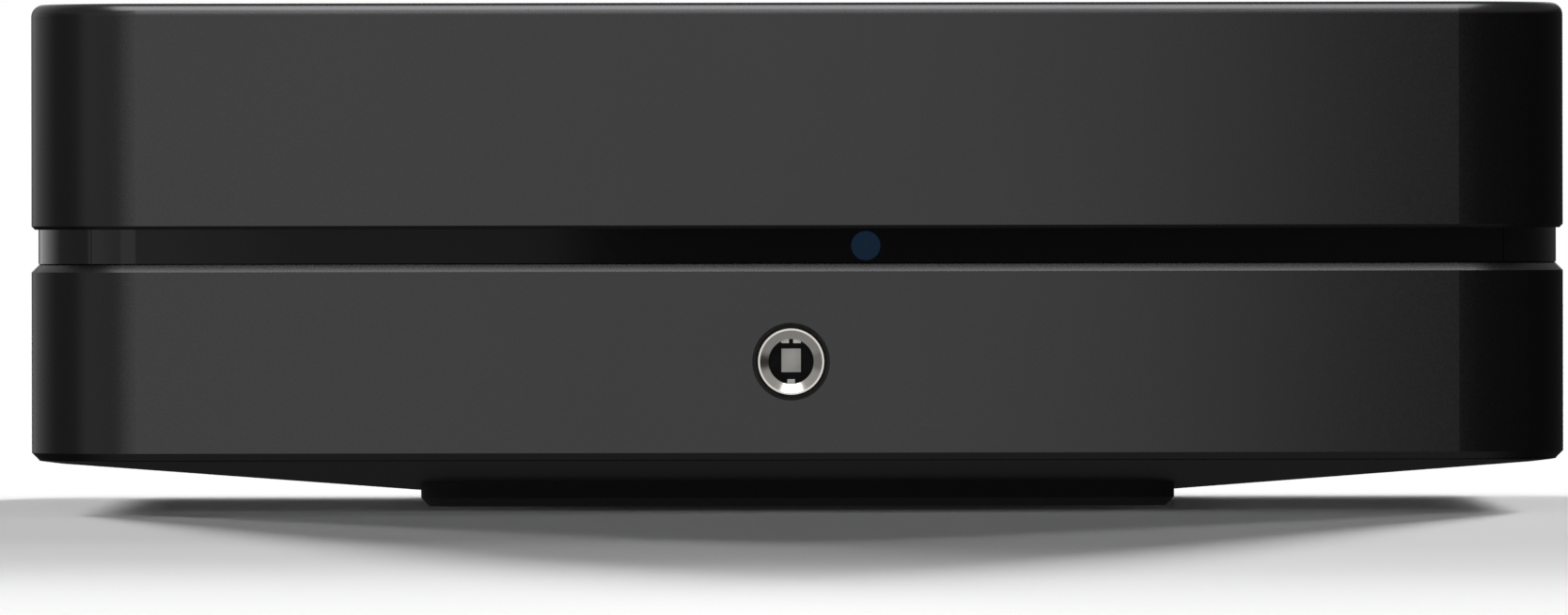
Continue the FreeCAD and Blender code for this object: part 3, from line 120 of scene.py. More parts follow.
# What the lamps light: INCLUDE is the named pieces alone, and EXCLUDE is all but these
WAIST = ("front_window", "waist_band", "status_lens")
BASE = ("base_pan", "foot")
LIT_SETS = {
    "all_but_floor": ("EXCLUDE", "floor"),
    "shells_and_fittings": ("EXCLUDE", "floor", *WAIST, *BASE),
    "waist": ("INCLUDE", *WAIST),
    "floor_alone": ("INCLUDE", "floor"),
}

# Soft boxes round the object: place, width, height, radiance, and the set of pieces that each lights. One of
# them has no reflection of its own in the glossy pieces
SOFT_BOXES = {
    "key_box": ((-0.042, FRONT - 0.3, 0.04), 0.24, 0.36, 1.09, "shells_and_fittings"),
    "left_box": ((-0.39, -0.51, 0.04), 0.56, 0.5, 0.34, "all_but_floor"),
    "left_card": ((-0.22, -0.98, 0.05), 0.36, 0.09, 0.16, "waist"),
    "fade_card": ((-0.134, -0.68, 0.05), 0.054, 0.5, 0.06, "waist"),
    "faint_card": ((-0.12, -0.68, 0.05), 0.054, 0.5, 0.05, "waist"),
    "brow_box": ((-0.06, -0.9, 0.66), 0.34, 0.5, 2.9, "all_but_floor"),
    "roof_box": ((-0.03, -0.35, 1.15), 0.8, 1.0, 6.6, "all_but_floor"),
    "back_box": ((0.3, 1.2, 0.6), 1.0, 0.8, 1.5, "all_but_floor"),
    "rear_box": ((0.0, BACK + 0.5, 0.22), 0.5, 0.36, 1.0, "all_but_floor"),
}
UNREFLECTED_BOX = "back_box"
AIM = Vector((0, 0, 0.04))

# Lamps behind the object: degrees round from straight behind, degrees up, and share of the floor's light
SHADOW_LAMPS = ((-10, 7.5, 0.17), (10, 9.0, 0.20), (-10, 6.5, 0.15), (10, 6.5, 0.12), (10, 7.5, 0.10),
                (20, 14.0, 0.07), (-20, 11.0, 0.07), (75, 7.0, 0.03), (-80, 6.0, 0.03))
SHADOW_LAMP_SPREAD = math.radians(5.0)

# The room that the glossy faces reflect, as the brightest of these patches. A patch is the product of its
# slopes: an axis, the direction's part along it at the slope's start and end, and the brightness at each
ROOM = {
    "backdrop": (("Y", 0.0, 0.75, 0.0, 1.0), ("X", -0.4, 0.35, 1.0, 0.04), ("Z", -0.08, 0.0, 0.0, 1.0),
                 ("Y", 0.88, 0.97, 1.0, 0.1)),
    "left_wall": (("X", -0.95, -0.4, 0.17, 0.0),),
    "ground": (("Z", -0.4, -0.1, 0.3, 0.0), ("Y", -0.1, 0.3, 1.0, 0.03)),
    "ceiling": (("Z", 0.1, 0.4, 0.0, 0.4),),
}
ROOM_FILL = 0.04


# Colours and nodes
def linear(code):
    """A colour written as sRGB hex, such as "#1c1c1e", as linear red, green, blue and alpha."""
    channels = [int(code[place:place + 2], 16) / 255 for place in (1, 3, 5)]
    curve = [value / 12.92 if value <= 0.04045 else ((value + 0.055) / 1.055) ** 2.4 for value in channels]
    return (*curve, 1.0)


def darker(colour, share):
    """The colour with only this share of its brightness."""
    return (*[share * value for value in colour[:3]], 1.0)


def colour_setting(label, description, code):
    """A colour that the user may change, with its sRGB hex default."""
    return FloatVectorProperty(name=label, description=description, size=4, subtype="COLOR", min=0, max=1,
                               default=linear(code))


def length_setting(label, description, millimetres):
    """A length that the user may change, with its default in millimetres."""
    return FloatProperty(name=label, description=description, unit="LENGTH", subtype="DISTANCE",
                         precision=4, default=millimetres * MM)


def per_metre(millimetres):
    """The scale of a texture whose features are so many millimetres apart."""
    return 1000 / millimetres


def add(tree, kind, values=None, links=None, **settings):
    """Adds one node with its settings, the values of its sockets and the links into them. A link may be a
    socket, or a node, which gives its first output in use."""
    node = tree.nodes.new(kind)
    for name, value in settings.items():
        setattr(node, name, value)
    for socket, value in (values or {}).items():
        node.inputs[socket].default_value = value
    for socket, source in (links or {}).items():
        if isinstance(source, bpy.types.Node):
            source = next(output for output in source.outputs if output.enabled)
        tree.links.new(source, node.inputs[socket])
    return node


def start_material(name):
    """A new empty material, with the Object coordinates that its patterns read."""
    material = bpy.data.materials.new(name)
    material.use_nodes = True
    tree = material.node_tree
    tree.nodes.clear()
    return material, tree, add(tree, "ShaderNodeTexCoord").outputs["Object"]


def finish_material(tree, values, tone, gloss=None, relief=None, strength=0.5, links=None):
    """Ends a material. tone is a pattern and the colours at its dark and pale places, gloss is a pattern and
    the roughness at its smooth and dull places, and relief is a pattern and its depth in millimetres."""
    links = dict(links or {})
    pattern, dark, pale = tone
    links["Base Color"] = add(tree, "ShaderNodeMix", {"A": dark, "B": pale}, {"Factor": pattern},
                              data_type="RGBA")
    if gloss:
        pattern, smooth, dull = gloss
        limits = {"From Min": NOISE_LOW, "From Max": NOISE_HIGH, "To Min": smooth, "To Max": dull}
        links["Roughness"] = add(tree, "ShaderNodeMapRange", limits, {"Value": pattern})
    if relief:
        pattern, depth = relief
        links["Normal"] = add(tree, "ShaderNodeBump", {"Strength": strength, "Distance": depth * MM},
                              {"Height": pattern})
    shader = add(tree, "ShaderNodeBsdfPrincipled", values, links)
    add(tree, "ShaderNodeOutputMaterial", links={"Surface": shader})


# Finishes
def blasted_anodised_aluminium(colour):
    """Bead-blasted aluminium, anodised black: an even satin with a very fine matt grain. The real grain is
    finer, and is drawn at 0.3 mm so that it shows."""
    material, tree, place = start_material("black_anodised_aluminium")
    grain = add(tree, "ShaderNodeTexNoise", {"Scale": per_metre(0.3), "Detail": 3.0}, {"Vector": place})
    cloud = add(tree, "ShaderNodeTexNoise", {"Scale": per_metre(45.0), "Detail": 2.0}, {"Vector": place})
    faint = add(tree, "ShaderNodeMapRange", {"From Min": NOISE_LOW, "From Max": NOISE_HIGH, "To Min": 0.4},
                {"Value": cloud})
    finish_material(tree, {"Metallic": 1.0, "Specular Tint": linear("#d4d4d4")},
                    (faint, darker(colour, 0.94), colour), (grain, 0.25, 0.29), (grain, 0.0005))
    return material


def gloss_polycarbonate(name, colour, roughness):
    """Polished black polycarbonate: a near mirror with faint moulding waves."""
    material, tree, place = start_material(name)
    stretched = add(tree, "ShaderNodeVectorMath", {1: (per_metre(40.0), per_metre(40.0), per_metre(9.0))},
                   {0: place}, operation="MULTIPLY")
    waves = add(tree, "ShaderNodeTexNoise", {"Scale": 1.0, "Detail": 1.0}, {"Vector": stretched})
    haze = add(tree, "ShaderNodeTexNoise", {"Scale": per_metre(0.8), "Detail": 3.0}, {"Vector": place})
    finish_material(tree, {"IOR": 1.58}, (haze, darker(colour, 0.8), colour),
                    (haze, roughness, roughness + 0.03), (waves, 0.01), strength=0.1)
    return material


def moulded_plastic(name, colour, roughness, grain=0.35, depth=0.02, ior=1.5):
    """Moulded plastic or rubber: a fine spark-eroded grain on an even tone."""
    material, tree, place = start_material(name)
    texture = add(tree, "ShaderNodeTexNoise", {"Scale": per_metre(grain), "Detail": 3.0}, {"Vector": place})
    cloud = add(tree, "ShaderNodeTexNoise", {"Scale": per_metre(30.0), "Detail": 2.0}, {"Vector": place})
    finish_material(tree, {"IOR": ior}, (cloud, darker(colour, 0.85), colour),
                    (texture, roughness - 0.05, roughness + 0.08), (texture, depth))
    return material


def powder_coat(colour):
    """Powder-coated sheet steel: a satin black orange peel."""
    material, tree, place = start_material("powder_coated_steel")
    peel = add(tree, "ShaderNodeTexNoise", {"Scale": per_metre(0.9), "Detail": 2.0}, {"Vector": place})
    cloud = add(tree, "ShaderNodeTexNoise", {"Scale": per_metre(40.0), "Detail": 3.0}, {"Vector": place})
    finish_material(tree, {"IOR": 1.5}, (cloud, darker(colour, 0.85), colour), (peel, 0.4, 0.55),
                    (peel, 0.05))
    return material


def plated_metal(name, colour, roughness):
    """Plated metal: bright, with a faint cloudy tarnish and fine scratches."""
    material, tree, place = start_material(name)
    cloud = add(tree, "ShaderNodeTexNoise", {"Scale": per_metre(6.0), "Detail": 3.0}, {"Vector": place})
    stretched = add(tree, "ShaderNodeVectorMath", {1: (per_metre(4.0), per_metre(0.12), per_metre(0.12))},
                   {0: place}, operation="MULTIPLY")
    scratch = add(tree, "ShaderNodeTexNoise", {"Scale": 1.0, "Detail": 3.0}, {"Vector": stretched})
    finish_material(tree, {"Metallic": 1.0}, (cloud, darker(colour, 0.9), colour),
                    (cloud, roughness, roughness + 0.08), (scratch, 0.002))
    return material


def turned_metal(name, colour, roughness, centre):
    """Lathe-turned metal: fine rings round the axis through centre, level and along Y. The real rings are
    closer, and are drawn 0.12 mm apart so that they show."""
    material, tree, place = start_material(name)
    away = add(tree, "ShaderNodeVectorMath", {1: (centre.x, 0, centre.z)}, {0: place}, operation="SUBTRACT")
    flat = add(tree, "ShaderNodeVectorMath", {1: (1.0, 0.0, 1.0)}, {0: away}, operation="MULTIPLY")
    radius = add(tree, "ShaderNodeVectorMath", links={0: flat}, operation="LENGTH")
    rings = add(tree, "ShaderNodeTexNoise", {"Scale": per_metre(0.12), "Detail": 2.0}, {"W": radius},
                noise_dimensions="1D")
    finish_material(tree, {"Metallic": 1.0}, (rings, darker(colour, 0.9), colour),
                    (rings, roughness, roughness + 0.06), (rings, 0.003))
    return material


def galvanised_steel(colour):
    """Zinc-plated sheet steel: pale grey with large soft spangles."""
    material, tree, place = start_material("zinc_plated_steel")
    spangle = add(tree, "ShaderNodeTexVoronoi", {"Scale": per_metre(5.0)}, {"Vector": place})
    grey = add(tree, "ShaderNodeRGBToBW", links={"Color": spangle.outputs["Color"]})
    finish_material(tree, {"Metallic": 1.0}, (grey, darker(colour, 0.82), colour), (grey, 0.28, 0.42))
    return material


def circuit_board(mask, track):
    """Solder-masked fibreglass board: deep green with the paler tracks showing under the mask."""
    material, tree, place = start_material("solder_masked_fibreglass")
    cells = add(tree, "ShaderNodeTexVoronoi", {"Scale": per_metre(4.0)}, {"Vector": place},
                distance="MANHATTAN", feature="F1")
    edge = add(tree, "ShaderNodeMapRange", {"From Min": 0.42, "From Max": 0.46}, {"Value": cells})
    finish_material(tree, {"IOR": 1.5, "Roughness": 0.3}, (edge, mask, track), relief=(edge, 0.035))
    return material


def wound_copper(colour):
    """Enamelled copper wire in close layers: one turn beside the next, glossy and warm, with painted shade
    that darkens the grooves between the turns.
    """
    material, tree, place = start_material("enamelled_copper_wire")
    turns_and_groove_shade = add(tree, "ShaderNodeTexWave", {"Scale": per_metre(1.57834) * WAVE_UNIT, "Distortion": 0.6},
                {"Vector": place}, bands_direction="Z").outputs["Fac"]
    # Painted shade: the colour falls to 0.45 of itself in the grooves between the turns, where the relief is
    # lowest.
    finish_material(tree, {"Metallic": 1.0, "Roughness": 0.28, "Coat Weight": 0.6},
                    (turns_and_groove_shade, darker(colour, 0.45), colour), relief=(turns_and_groove_shade, 0.15), strength=0.8)
    return material


def ferrite_ceramic(colour):
    """Sintered ferrite: dull charcoal with a speckled grain."""
    material, tree, place = start_material("sintered_ferrite")
    speckle = add(tree, "ShaderNodeTexNoise", {"Scale": per_metre(0.5), "Detail": 5.0}, {"Vector": place})
    finish_material(tree, {"IOR": 2.0}, (speckle, darker(colour, 0.6), colour), (speckle, 0.5, 0.75),
                    (speckle, 0.03))
    return material


def lit_lens(colour, glow):
    """Tinted light pipe: deep blue polycarbonate that passes a dim glow."""
    material, tree, place = start_material("tinted_polycarbonate_light_pipe")
    haze = add(tree, "ShaderNodeTexNoise", {"Scale": per_metre(0.6), "Detail": 3.0}, {"Vector": place})
    light = add(tree, "ShaderNodeMix", {"A": darker(glow, 0.8), "B": glow}, {"Factor": haze},
                data_type="RGBA")
    finish_material(tree, {"IOR": 1.58, "Roughness": 0.12, "Emission Strength": 0.75},
                    (haze, darker(colour, 0.5), colour), links={"Emission Color": light})
    return material


def back_printed_glass(colour):
    """Touch glass with black print on its back: smooth, with a trace of finger haze."""
    material, tree, place = start_material("back_printed_touch_glass")
    smear = add(tree, "ShaderNodeTexNoise", {"Scale": per_metre(14.0), "Detail": 4.0}, {"Vector": place})
    print_grain = add(tree, "ShaderNodeTexNoise", {"Scale": per_metre(0.3), "Detail": 3.0}, {"Vector": place})
    finish_material(tree, {"IOR": 1.52}, (print_grain, darker(colour, 0.7), colour), (smear, 0.04, 0.1))
    return material


def background_paper(colour):
    """Matt white background paper: an even tone with only a trace of fibre."""
    material, tree, place = start_material("matt_background_paper")
    fibre = add(tree, "ShaderNodeTexNoise", {"Scale": per_metre(4.0), "Detail": 2.0}, {"Vector": place})
    finish_material(tree, {"Roughness": 1.0, "Specular IOR Level": 0.0},
                    (fibre, darker(colour, 0.995), colour))
    return material


def dress(material, *nodes):
    """Gives one finish to CAD nodes."""
    for name in nodes:
        mesh = frame["nodes"][name].data
        mesh.materials.clear()
        mesh.materials.append(material)


def finish_of(node):
    """The finish that a CAD node was given."""
    return frame["nodes"][node].data.materials[0]


# Mesh pieces
def new_piece(name, body, made, material, replaced=(), sharp=40.0):
    """Turns a finished bmesh into a piece that rides on a body, and may stand for CAD nodes."""
    bmesh.ops.recalc_face_normals(made, faces=made.faces)
    mesh = bpy.data.meshes.new(name)
    made.to_mesh(mesh)
    made.free()
    mesh.shade_smooth()
    mesh.set_sharp_from_angle(angle=math.radians(sharp))
    mesh.materials.append(material)
    piece = bpy.data.objects.new(name, mesh)
    bpy.context.scene.collection.objects.link(piece)
    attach(piece, body)
    if replaced:
        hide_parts(*replaced)


def corners_of(geometry):
    """The vertices among what a bmesh operator returned."""
    return [part for part in geometry if isinstance(part, bmesh.types.BMVert)]


def edges_of(corners):
    """The edges that meet these vertices, each once and in their order."""
    return list(dict.fromkeys(edge for corner in corners for edge in corner.link_edges))


def turned(profile, centre, steps):
    """A solid of revolution about the Y axis through centre: profile is a closed line of (radius, y)
    corners."""
    made = bmesh.new()
    corners = [made.verts.new((centre.x + radius, y, centre.z)) for radius, y in profile]
    edges = [made.edges.new((corner, corners[place - 1])) for place, corner in enumerate(corners)]
    bmesh.ops.spin(made, geom=corners + edges, cent=(centre.x, 0, centre.z), axis=(0, 1, 0),
                   angle=2 * math.pi, steps=steps, use_merge=True)
    return made


def screw(made, seat, direction, head_radius, head_height, length, sizes):
    """Adds one button-head screw with a six-sided socket: its head stands on seat and points along
    direction."""
    before = set(made.verts)
    key_radius = sizes.key_width / 2 / math.cos(math.pi / 6)
    top = head_height * SOCKET_TOP
    socket = bmesh.ops.create_circle(made, segments=6, radius=key_radius,
                                     matrix=Matrix.Translation((0, 0, top)))["verts"]
    socket_edges = edges_of(socket)
    radius, height = head_radius * HEAD_FLAT, head_height
    rim = bmesh.ops.create_circle(made, segments=24, radius=radius,
                                  matrix=Matrix.Translation((0, 0, height)))["verts"]
    edges = edges_of(rim)
    bmesh.ops.bridge_loops(made, edges=socket_edges + edges)
    well = corners_of(bmesh.ops.extrude_edge_only(made, edges=socket_edges)["geom"])
    bmesh.ops.translate(made, vec=(0, 0, -sizes.key_depth), verts=well)
    bmesh.ops.contextual_create(made, geom=well)
    rings = [(head_radius * wide, head_height * high) for wide, high in HEAD_CURVE]
    for next_radius, next_height in (*rings, (sizes.shank, 0.0), (sizes.shank, -length)):
        grown = bmesh.ops.extrude_edge_only(made, edges=edges)["geom"]
        corners = corners_of(grown)
        edges = [part for part in grown if isinstance(part, bmesh.types.BMEdge)
                 and part.verts[0] in corners and part.verts[1] in corners]
        bmesh.ops.scale(made, vec=(next_radius / radius, next_radius / radius, 1), verts=corners)
        bmesh.ops.translate(made, vec=(0, 0, next_height - height), verts=corners)
        radius, height = next_radius, next_height
    bmesh.ops.contextual_create(made, geom=corners)
    added = [corner for corner in made.verts if corner not in before]
    turn = Vector((0, 0, 1)).rotation_difference(direction).to_matrix().to_4x4()
    bmesh.ops.transform(made, matrix=Matrix.Translation(seat) @ turn, verts=added)


# Settings in the sidebar
class FinishColours(bpy.types.PropertyGroup):
    """Colours of the finishes."""
    shell: colour_setting("Shell", "Black anodised aluminium of the two shells", "#3c3c3d")
    gloss: colour_setting("Waist", "Polished band and window between the shells", "#060606")
    pan: colour_setting("Pan", "Moulded underside", "#0a0a0b")
    rubber: colour_setting("Foot", "Silicone rubber foot", "#060607")
    panel: colour_setting("Rear panel", "Powder-coated rear panel", "#151516")
    light: colour_setting("Status light", "Dim glow of the status light", "#12263a")
    glass: colour_setting("Touch glass", "Print behind the touch glass", "#050506")
    nickel: colour_setting("Nickel", "Bright nickel plating", "#cfccc6")
    gold: colour_setting("Gold", "Gold plating of the contacts", "#d8b162")
    red: colour_setting("Positive posts", "Red caps of the binding posts", "#9c1216")
    dark: colour_setting("Negative posts", "Black caps of the binding posts", "#121214")


class KnobSizes(bpy.types.PropertyGroup):
    """Sizes of the binding posts' knobs and washers."""
    ridges: IntProperty(name="Ridges", description="Ridges round each knob's grip", default=30, min=8)
    ridge_depth: length_setting("Ridge depth", "Depth of the grooves between the ridges", 0.35)
    nose_length: length_setting("Nose length", "Length of the plain nose in front of the grip", 2.2)
    nose_step: length_setting("Nose step", "How far the nose is drawn in from the grip", 0.9)
    edge: length_setting("Edge", "Chamfer on the turned edges", 0.25)
    gap: length_setting("Gap", "Gap between the knob and its stem", 0.05)
    stem: length_setting("Stem radius", "Radius of the drilled stem", 3.0)


class ScrewSizes(bpy.types.PropertyGroup):
    """Sizes of the visible screws."""
    key_width: length_setting("Key width", "Width across the flats of the six-sided socket", 2.0)
    key_depth: length_setting("Key depth", "Depth of the six-sided socket", 1.0)
    panel_head: length_setting("Panel head", "Radius of the rear panel's screw heads", 2.75)
    panel_rise: length_setting("Panel head height", "Height of the rear panel's screw heads", 1.8)
    case_head: length_setting("Case head", "Radius of the underside's screw heads", 2.8)
    case_rise: length_setting("Case head height", "Height of the underside's screw heads", 2.0)
    shank: length_setting("Shank", "Radius of the screws' shanks", 1.5)


class SocketSizes(bpy.types.PropertyGroup):
    """Sizes of the sockets' turned rims, collars and lining."""
    mouth: length_setting("Mouth", "Radius of the headphone rim's mouth", 4.45)
    lip: length_setting("Lip", "Width of the bright flat lip round the headphone rim's mouth", 0.27)
    slope: length_setting("Slope", "How far the headphone rim falls back outside its lip", 0.16)
    bore: length_setting("Bore", "Radius of the headphone rim's bore", 3.24)
    chamfer: length_setting("Chamfer", "Depth of the headphone rim's bright chamfer", 0.95)
    edge: length_setting("Edge", "Small bevel on the turned edges", 0.15)
    coaxial_radius: length_setting("Coaxial radius", "Outside radius of the coaxial socket", 4.15)
    coaxial_wall: length_setting("Coaxial wall", "Wall of the coaxial socket", 0.8)
    coaxial_flange: length_setting("Coaxial flange", "Thickness of the coaxial socket's flange", 1.0)
    jack_radius: length_setting("Jack collar", "Outside radius of the small jacks' collars", 3.3)
    jack_bore: length_setting("Jack bore", "Radius of the small jacks' bores", 1.8)
    jack_rise: length_setting("Jack rise", "How far the collars stand before the small jacks", 0.1)
    lining_width: length_setting("Lining width", "Width of the network port's lining", 11.8)
    lining_height: length_setting("Lining height", "Height of the network port's lining", 7.2)
    lining_depth: length_setting("Lining depth", "Depth of the network port's lining", 13.6)
    lining_step: length_setting("Lining step", "How far the lining stands back in the port's mouth", 0.3)
    lining_wall: length_setting("Lining wall", "Wall of the network port's lining", 0.2)
    latch_width: length_setting("Latch width", "Width of the step for the plug's latch", 6.0)
    latch_height: length_setting("Latch height", "Height of the step for the plug's latch", 2.2)


class SignSizes(bpy.types.PropertyGroup):
    """Sizes of the printed plus and minus signs."""
    length: length_setting("Length", "Length of each sign's bars", 3.0)
    stroke: length_setting("Stroke", "Width of each sign's bars", 0.65)
    gap: length_setting("Gap", "From the knob's edge to the sign's middle", 3.6)
    thickness: length_setting("Thickness", "Thickness of the print on the panel", 0.04)


class StageSizes(bpy.types.PropertyGroup):
    """What a user would change about the stage."""
    floor_reach: FloatProperty(name="Floor reach", description="Radius of the floor", default=8.0,
                               subtype="DISTANCE", unit="LENGTH")
    floor_colour: colour_setting("Floor", "Colour of the floor paper", "#fafafa")
    floor_light: FloatProperty(name="Floor light", default=1.09, min=0,
                               description="How brightly the lamps behind the object light the floor")


# Steps
class AMPLIFIER_OT_finishes(bpy.types.Operator):
    """Gives every CAD node its finish"""
    bl_idname = "amplifier.finishes"
    bl_label = "Finishes"

    def execute(self, context):
        colours = context.scene.amplifier_colours
        dress(blasted_anodised_aluminium(tuple(colours.shell)), "upper_shell", "lower_shell")
        dress(gloss_polycarbonate("black_polycarbonate_band", tuple(colours.gloss), 0.08), "waist_band")
        dress(gloss_polycarbonate("smoked_polycarbonate_window", tuple(colours.gloss), 0.05), "front_window")
        dress(moulded_plastic("black_abs", tuple(colours.pan), 0.5), "base_pan")
        dress(moulded_plastic("silicone_rubber", tuple(colours.rubber), 0.75, grain=0.25, depth=0.01,
                              ior=1.41), "foot")
        dress(powder_coat(tuple(colours.panel)), "rear_panel")
        dress(lit_lens(linear("#05080c"), tuple(colours.light)), "status_lens")
        dress(back_printed_glass(tuple(colours.glass)), "touch_glass")
        dress(moulded_plastic("black_nylon_socket_body", linear("#070708"), 0.45), "headphone_socket")
        dress(moulded_plastic("glass_filled_nylon", linear("#101012"), 0.4), "mains_inlet",
              "coaxial_insulator", "video_port_tongue", "mini_jacks", "post_bases")
        dress(moulded_plastic("pale_nylon", linear("#c9cdd2"), 0.4), "data_port_tongue")
        dress(plated_metal("tin_plated_bronze", linear("#d2d1cc"), 0.3), "headphone_contacts")
        dress(plated_metal("bright_nickel_plate", tuple(colours.nickel), 0.14), "headphone_bezel",
              "mains_pins", "network_port", "video_port", "data_port", "wireless_module")
        dress(plated_metal("gold_plate", tuple(colours.gold), 0.16), "network_contacts", "coaxial_socket",
              *[f"post_{kind}_{number}" for kind in ("stem", "washer") for number in POST_SIGNS])
        dress(moulded_plastic("red_polycarbonate", tuple(colours.red), 0.25, grain=0.3, depth=0.01,
                              ior=1.58), "post_knob_1", "post_knob_3")
        dress(moulded_plastic("black_polycarbonate", tuple(colours.dark), 0.25, grain=0.3, depth=0.01,
                              ior=1.58), "post_knob_2", "post_knob_4")
        dress(galvanised_steel(linear("#b9bec3")), "chassis_tray", "board_screws")
        dress(plated_metal("black_zinc_plate", linear("#3a3a3c"), 0.3), "case_screws", "panel_screws")
        dress(plated_metal("nickel_plated_brass", linear("#c2b186"), 0.25), "board_spacers")
        dress(plated_metal("fuse_caps_and_glass", linear("#d9d3c4"), 0.12), "fuse")
        dress(circuit_board(linear("#0c3a20"), linear("#1c5a33")), "touch_board", "status_board",
              "headphone_board", "power_board", "main_board", "amplifier_board", "antennas")
        dress(ferrite_ceramic(linear("#3c3d40")), "mains_choke", "transformer_core", "output_inductors")
        dress(wound_copper(linear("#b5622f")), "transformer_winding")
        dress(moulded_plastic("pvc_sleeve", linear("#16181c"), 0.3, grain=2.0, depth=0.01),
              "power_capacitors")
        dress(moulded_plastic("epoxy_moulding", linear("#18181a"), 0.45, grain=0.2, depth=0.01),
              "amplifier_chips")
        dress(moulded_plastic("film_capacitor_case", linear("#8e1b14"), 0.35, grain=0.3, depth=0.01),
              "output_capacitors")
        dress(moulded_plastic("anodised_heatsink", linear("#1d1e20"), 0.4, grain=0.15, depth=0.005),
              "power_heatsink", "amplifier_heatsink", "processor")
        return {"FINISHED"}


class AMPLIFIER_OT_knobs(bpy.types.Operator):
    """Makes the four ridged knobs of the binding posts"""
    bl_idname = "amplifier.knobs"
    bl_label = "Binding post knobs"

    def execute(self, context):
        for number, sign in POST_SIGNS.items():
            self.make_knob(context.scene.amplifier_knobs, number, sign)
        return {"FINISHED"}

    def make_knob(self, sizes, number, sign):
        """Turns a plain knob, then draws its grip in between the ridges."""
        node = f"post_knob_{number}"
        low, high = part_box(node)
        centre = (low + high) / 2
        grip = (high.x - low.x) / 2
        bore = sizes.stem + sizes.gap
        nose = grip - sizes.nose_step
        nose_start = high.y - sizes.nose_length
        edge = sizes.edge
        profile = [(bore, low.y), (grip - 2 * edge, low.y), (grip, low.y + 2 * edge)]
        profile += [(grip, low.y + 2 * edge + (nose_start - low.y - 3 * edge) * row / GRIP_ROWS)
                    for row in range(1, GRIP_ROWS + 1)]
        profile += [(nose, nose_start + edge), (nose, high.y - 2 * edge), (nose - 2 * edge, high.y),
                    (bore + edge, high.y), (bore, high.y - edge)]
        made = turned(profile, centre, steps=sizes.ridges * RIDGE_CORNERS)
        for corner in made.verts:
            out = Vector((corner.co.x - centre.x, corner.co.z - centre.z))
            if out.length > grip - SAME_PLACE:
                wave = 0.5 - 0.5 * math.cos(sizes.ridges * math.atan2(out.y, out.x))
                shorter = 1 - sizes.ridge_depth * wave ** 2 / out.length
                corner.co.x = centre.x + out.x * shorter
                corner.co.z = centre.z + out.y * shorter
        new_piece(f"ridged_knob_{number}", f"knob_{number}", made, finish_of(node), (node,), sharp=50.0)


class AMPLIFIER_OT_washers(bpy.types.Operator):
    """Makes the four round clamp washers behind the knobs"""
    bl_idname = "amplifier.washers"
    bl_label = "Clamp washers"

    def execute(self, context):
        sizes = context.scene.amplifier_knobs
        bore = sizes.stem + sizes.gap
        edge = sizes.edge / 2
        for number in POST_SIGNS:
            node = f"post_washer_{number}"
            low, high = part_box(node)
            radius = (high.x - low.x) / 2
            profile = [(bore, low.y), (radius - edge, low.y), (radius, low.y + edge),
                       (radius, high.y - edge), (radius - edge, high.y), (bore, high.y)]
            made = turned(profile, (low + high) / 2, steps=64)
            new_piece(f"clamp_washer_{number}", f"washer_{number}", made, finish_of(node),
                      (node,))
        return {"FINISHED"}


class AMPLIFIER_OT_screws(bpy.types.Operator):
    """Makes the screws of the rear panel and of the underside, with their six-sided sockets"""
    bl_idname = "amplifier.screws"
    bl_label = "Screws"

    def execute(self, context):
        sizes = context.scene.amplifier_screws
        low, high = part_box("panel_screws")
        head = sizes.panel_head
        seats = [Vector((x, PANEL_BACK, z)) for x in (low.x + head, high.x - head)
                 for z in (low.z + head, high.z - head)]
        self.make_set("panel_screws", seats, Vector((0, 1, 0)), head, sizes.panel_rise,
                      PANEL_BACK - low.y, sizes)
        low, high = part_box("case_screws")
        head = sizes.case_head
        level = low.z + sizes.case_rise
        seats = [Vector((x, y, level)) for x in (low.x + head, high.x - head)
                 for y in (low.y + head, high.y - head)]
        self.make_set("case_screws", seats, Vector((0, 0, -1)), head, sizes.case_rise, high.z - level,
                      sizes)
        return {"FINISHED"}

    def make_set(self, node, seats, direction, head, rise, length, sizes):
        """One piece with a screw at each seat, in the place of a CAD node."""
        made = bmesh.new()
        for seat in seats:
            screw(made, seat, direction, head, rise, length, sizes)
        new_piece(f"socket_head_{node}", "root", made, finish_of(node), (node,), sharp=30.0)


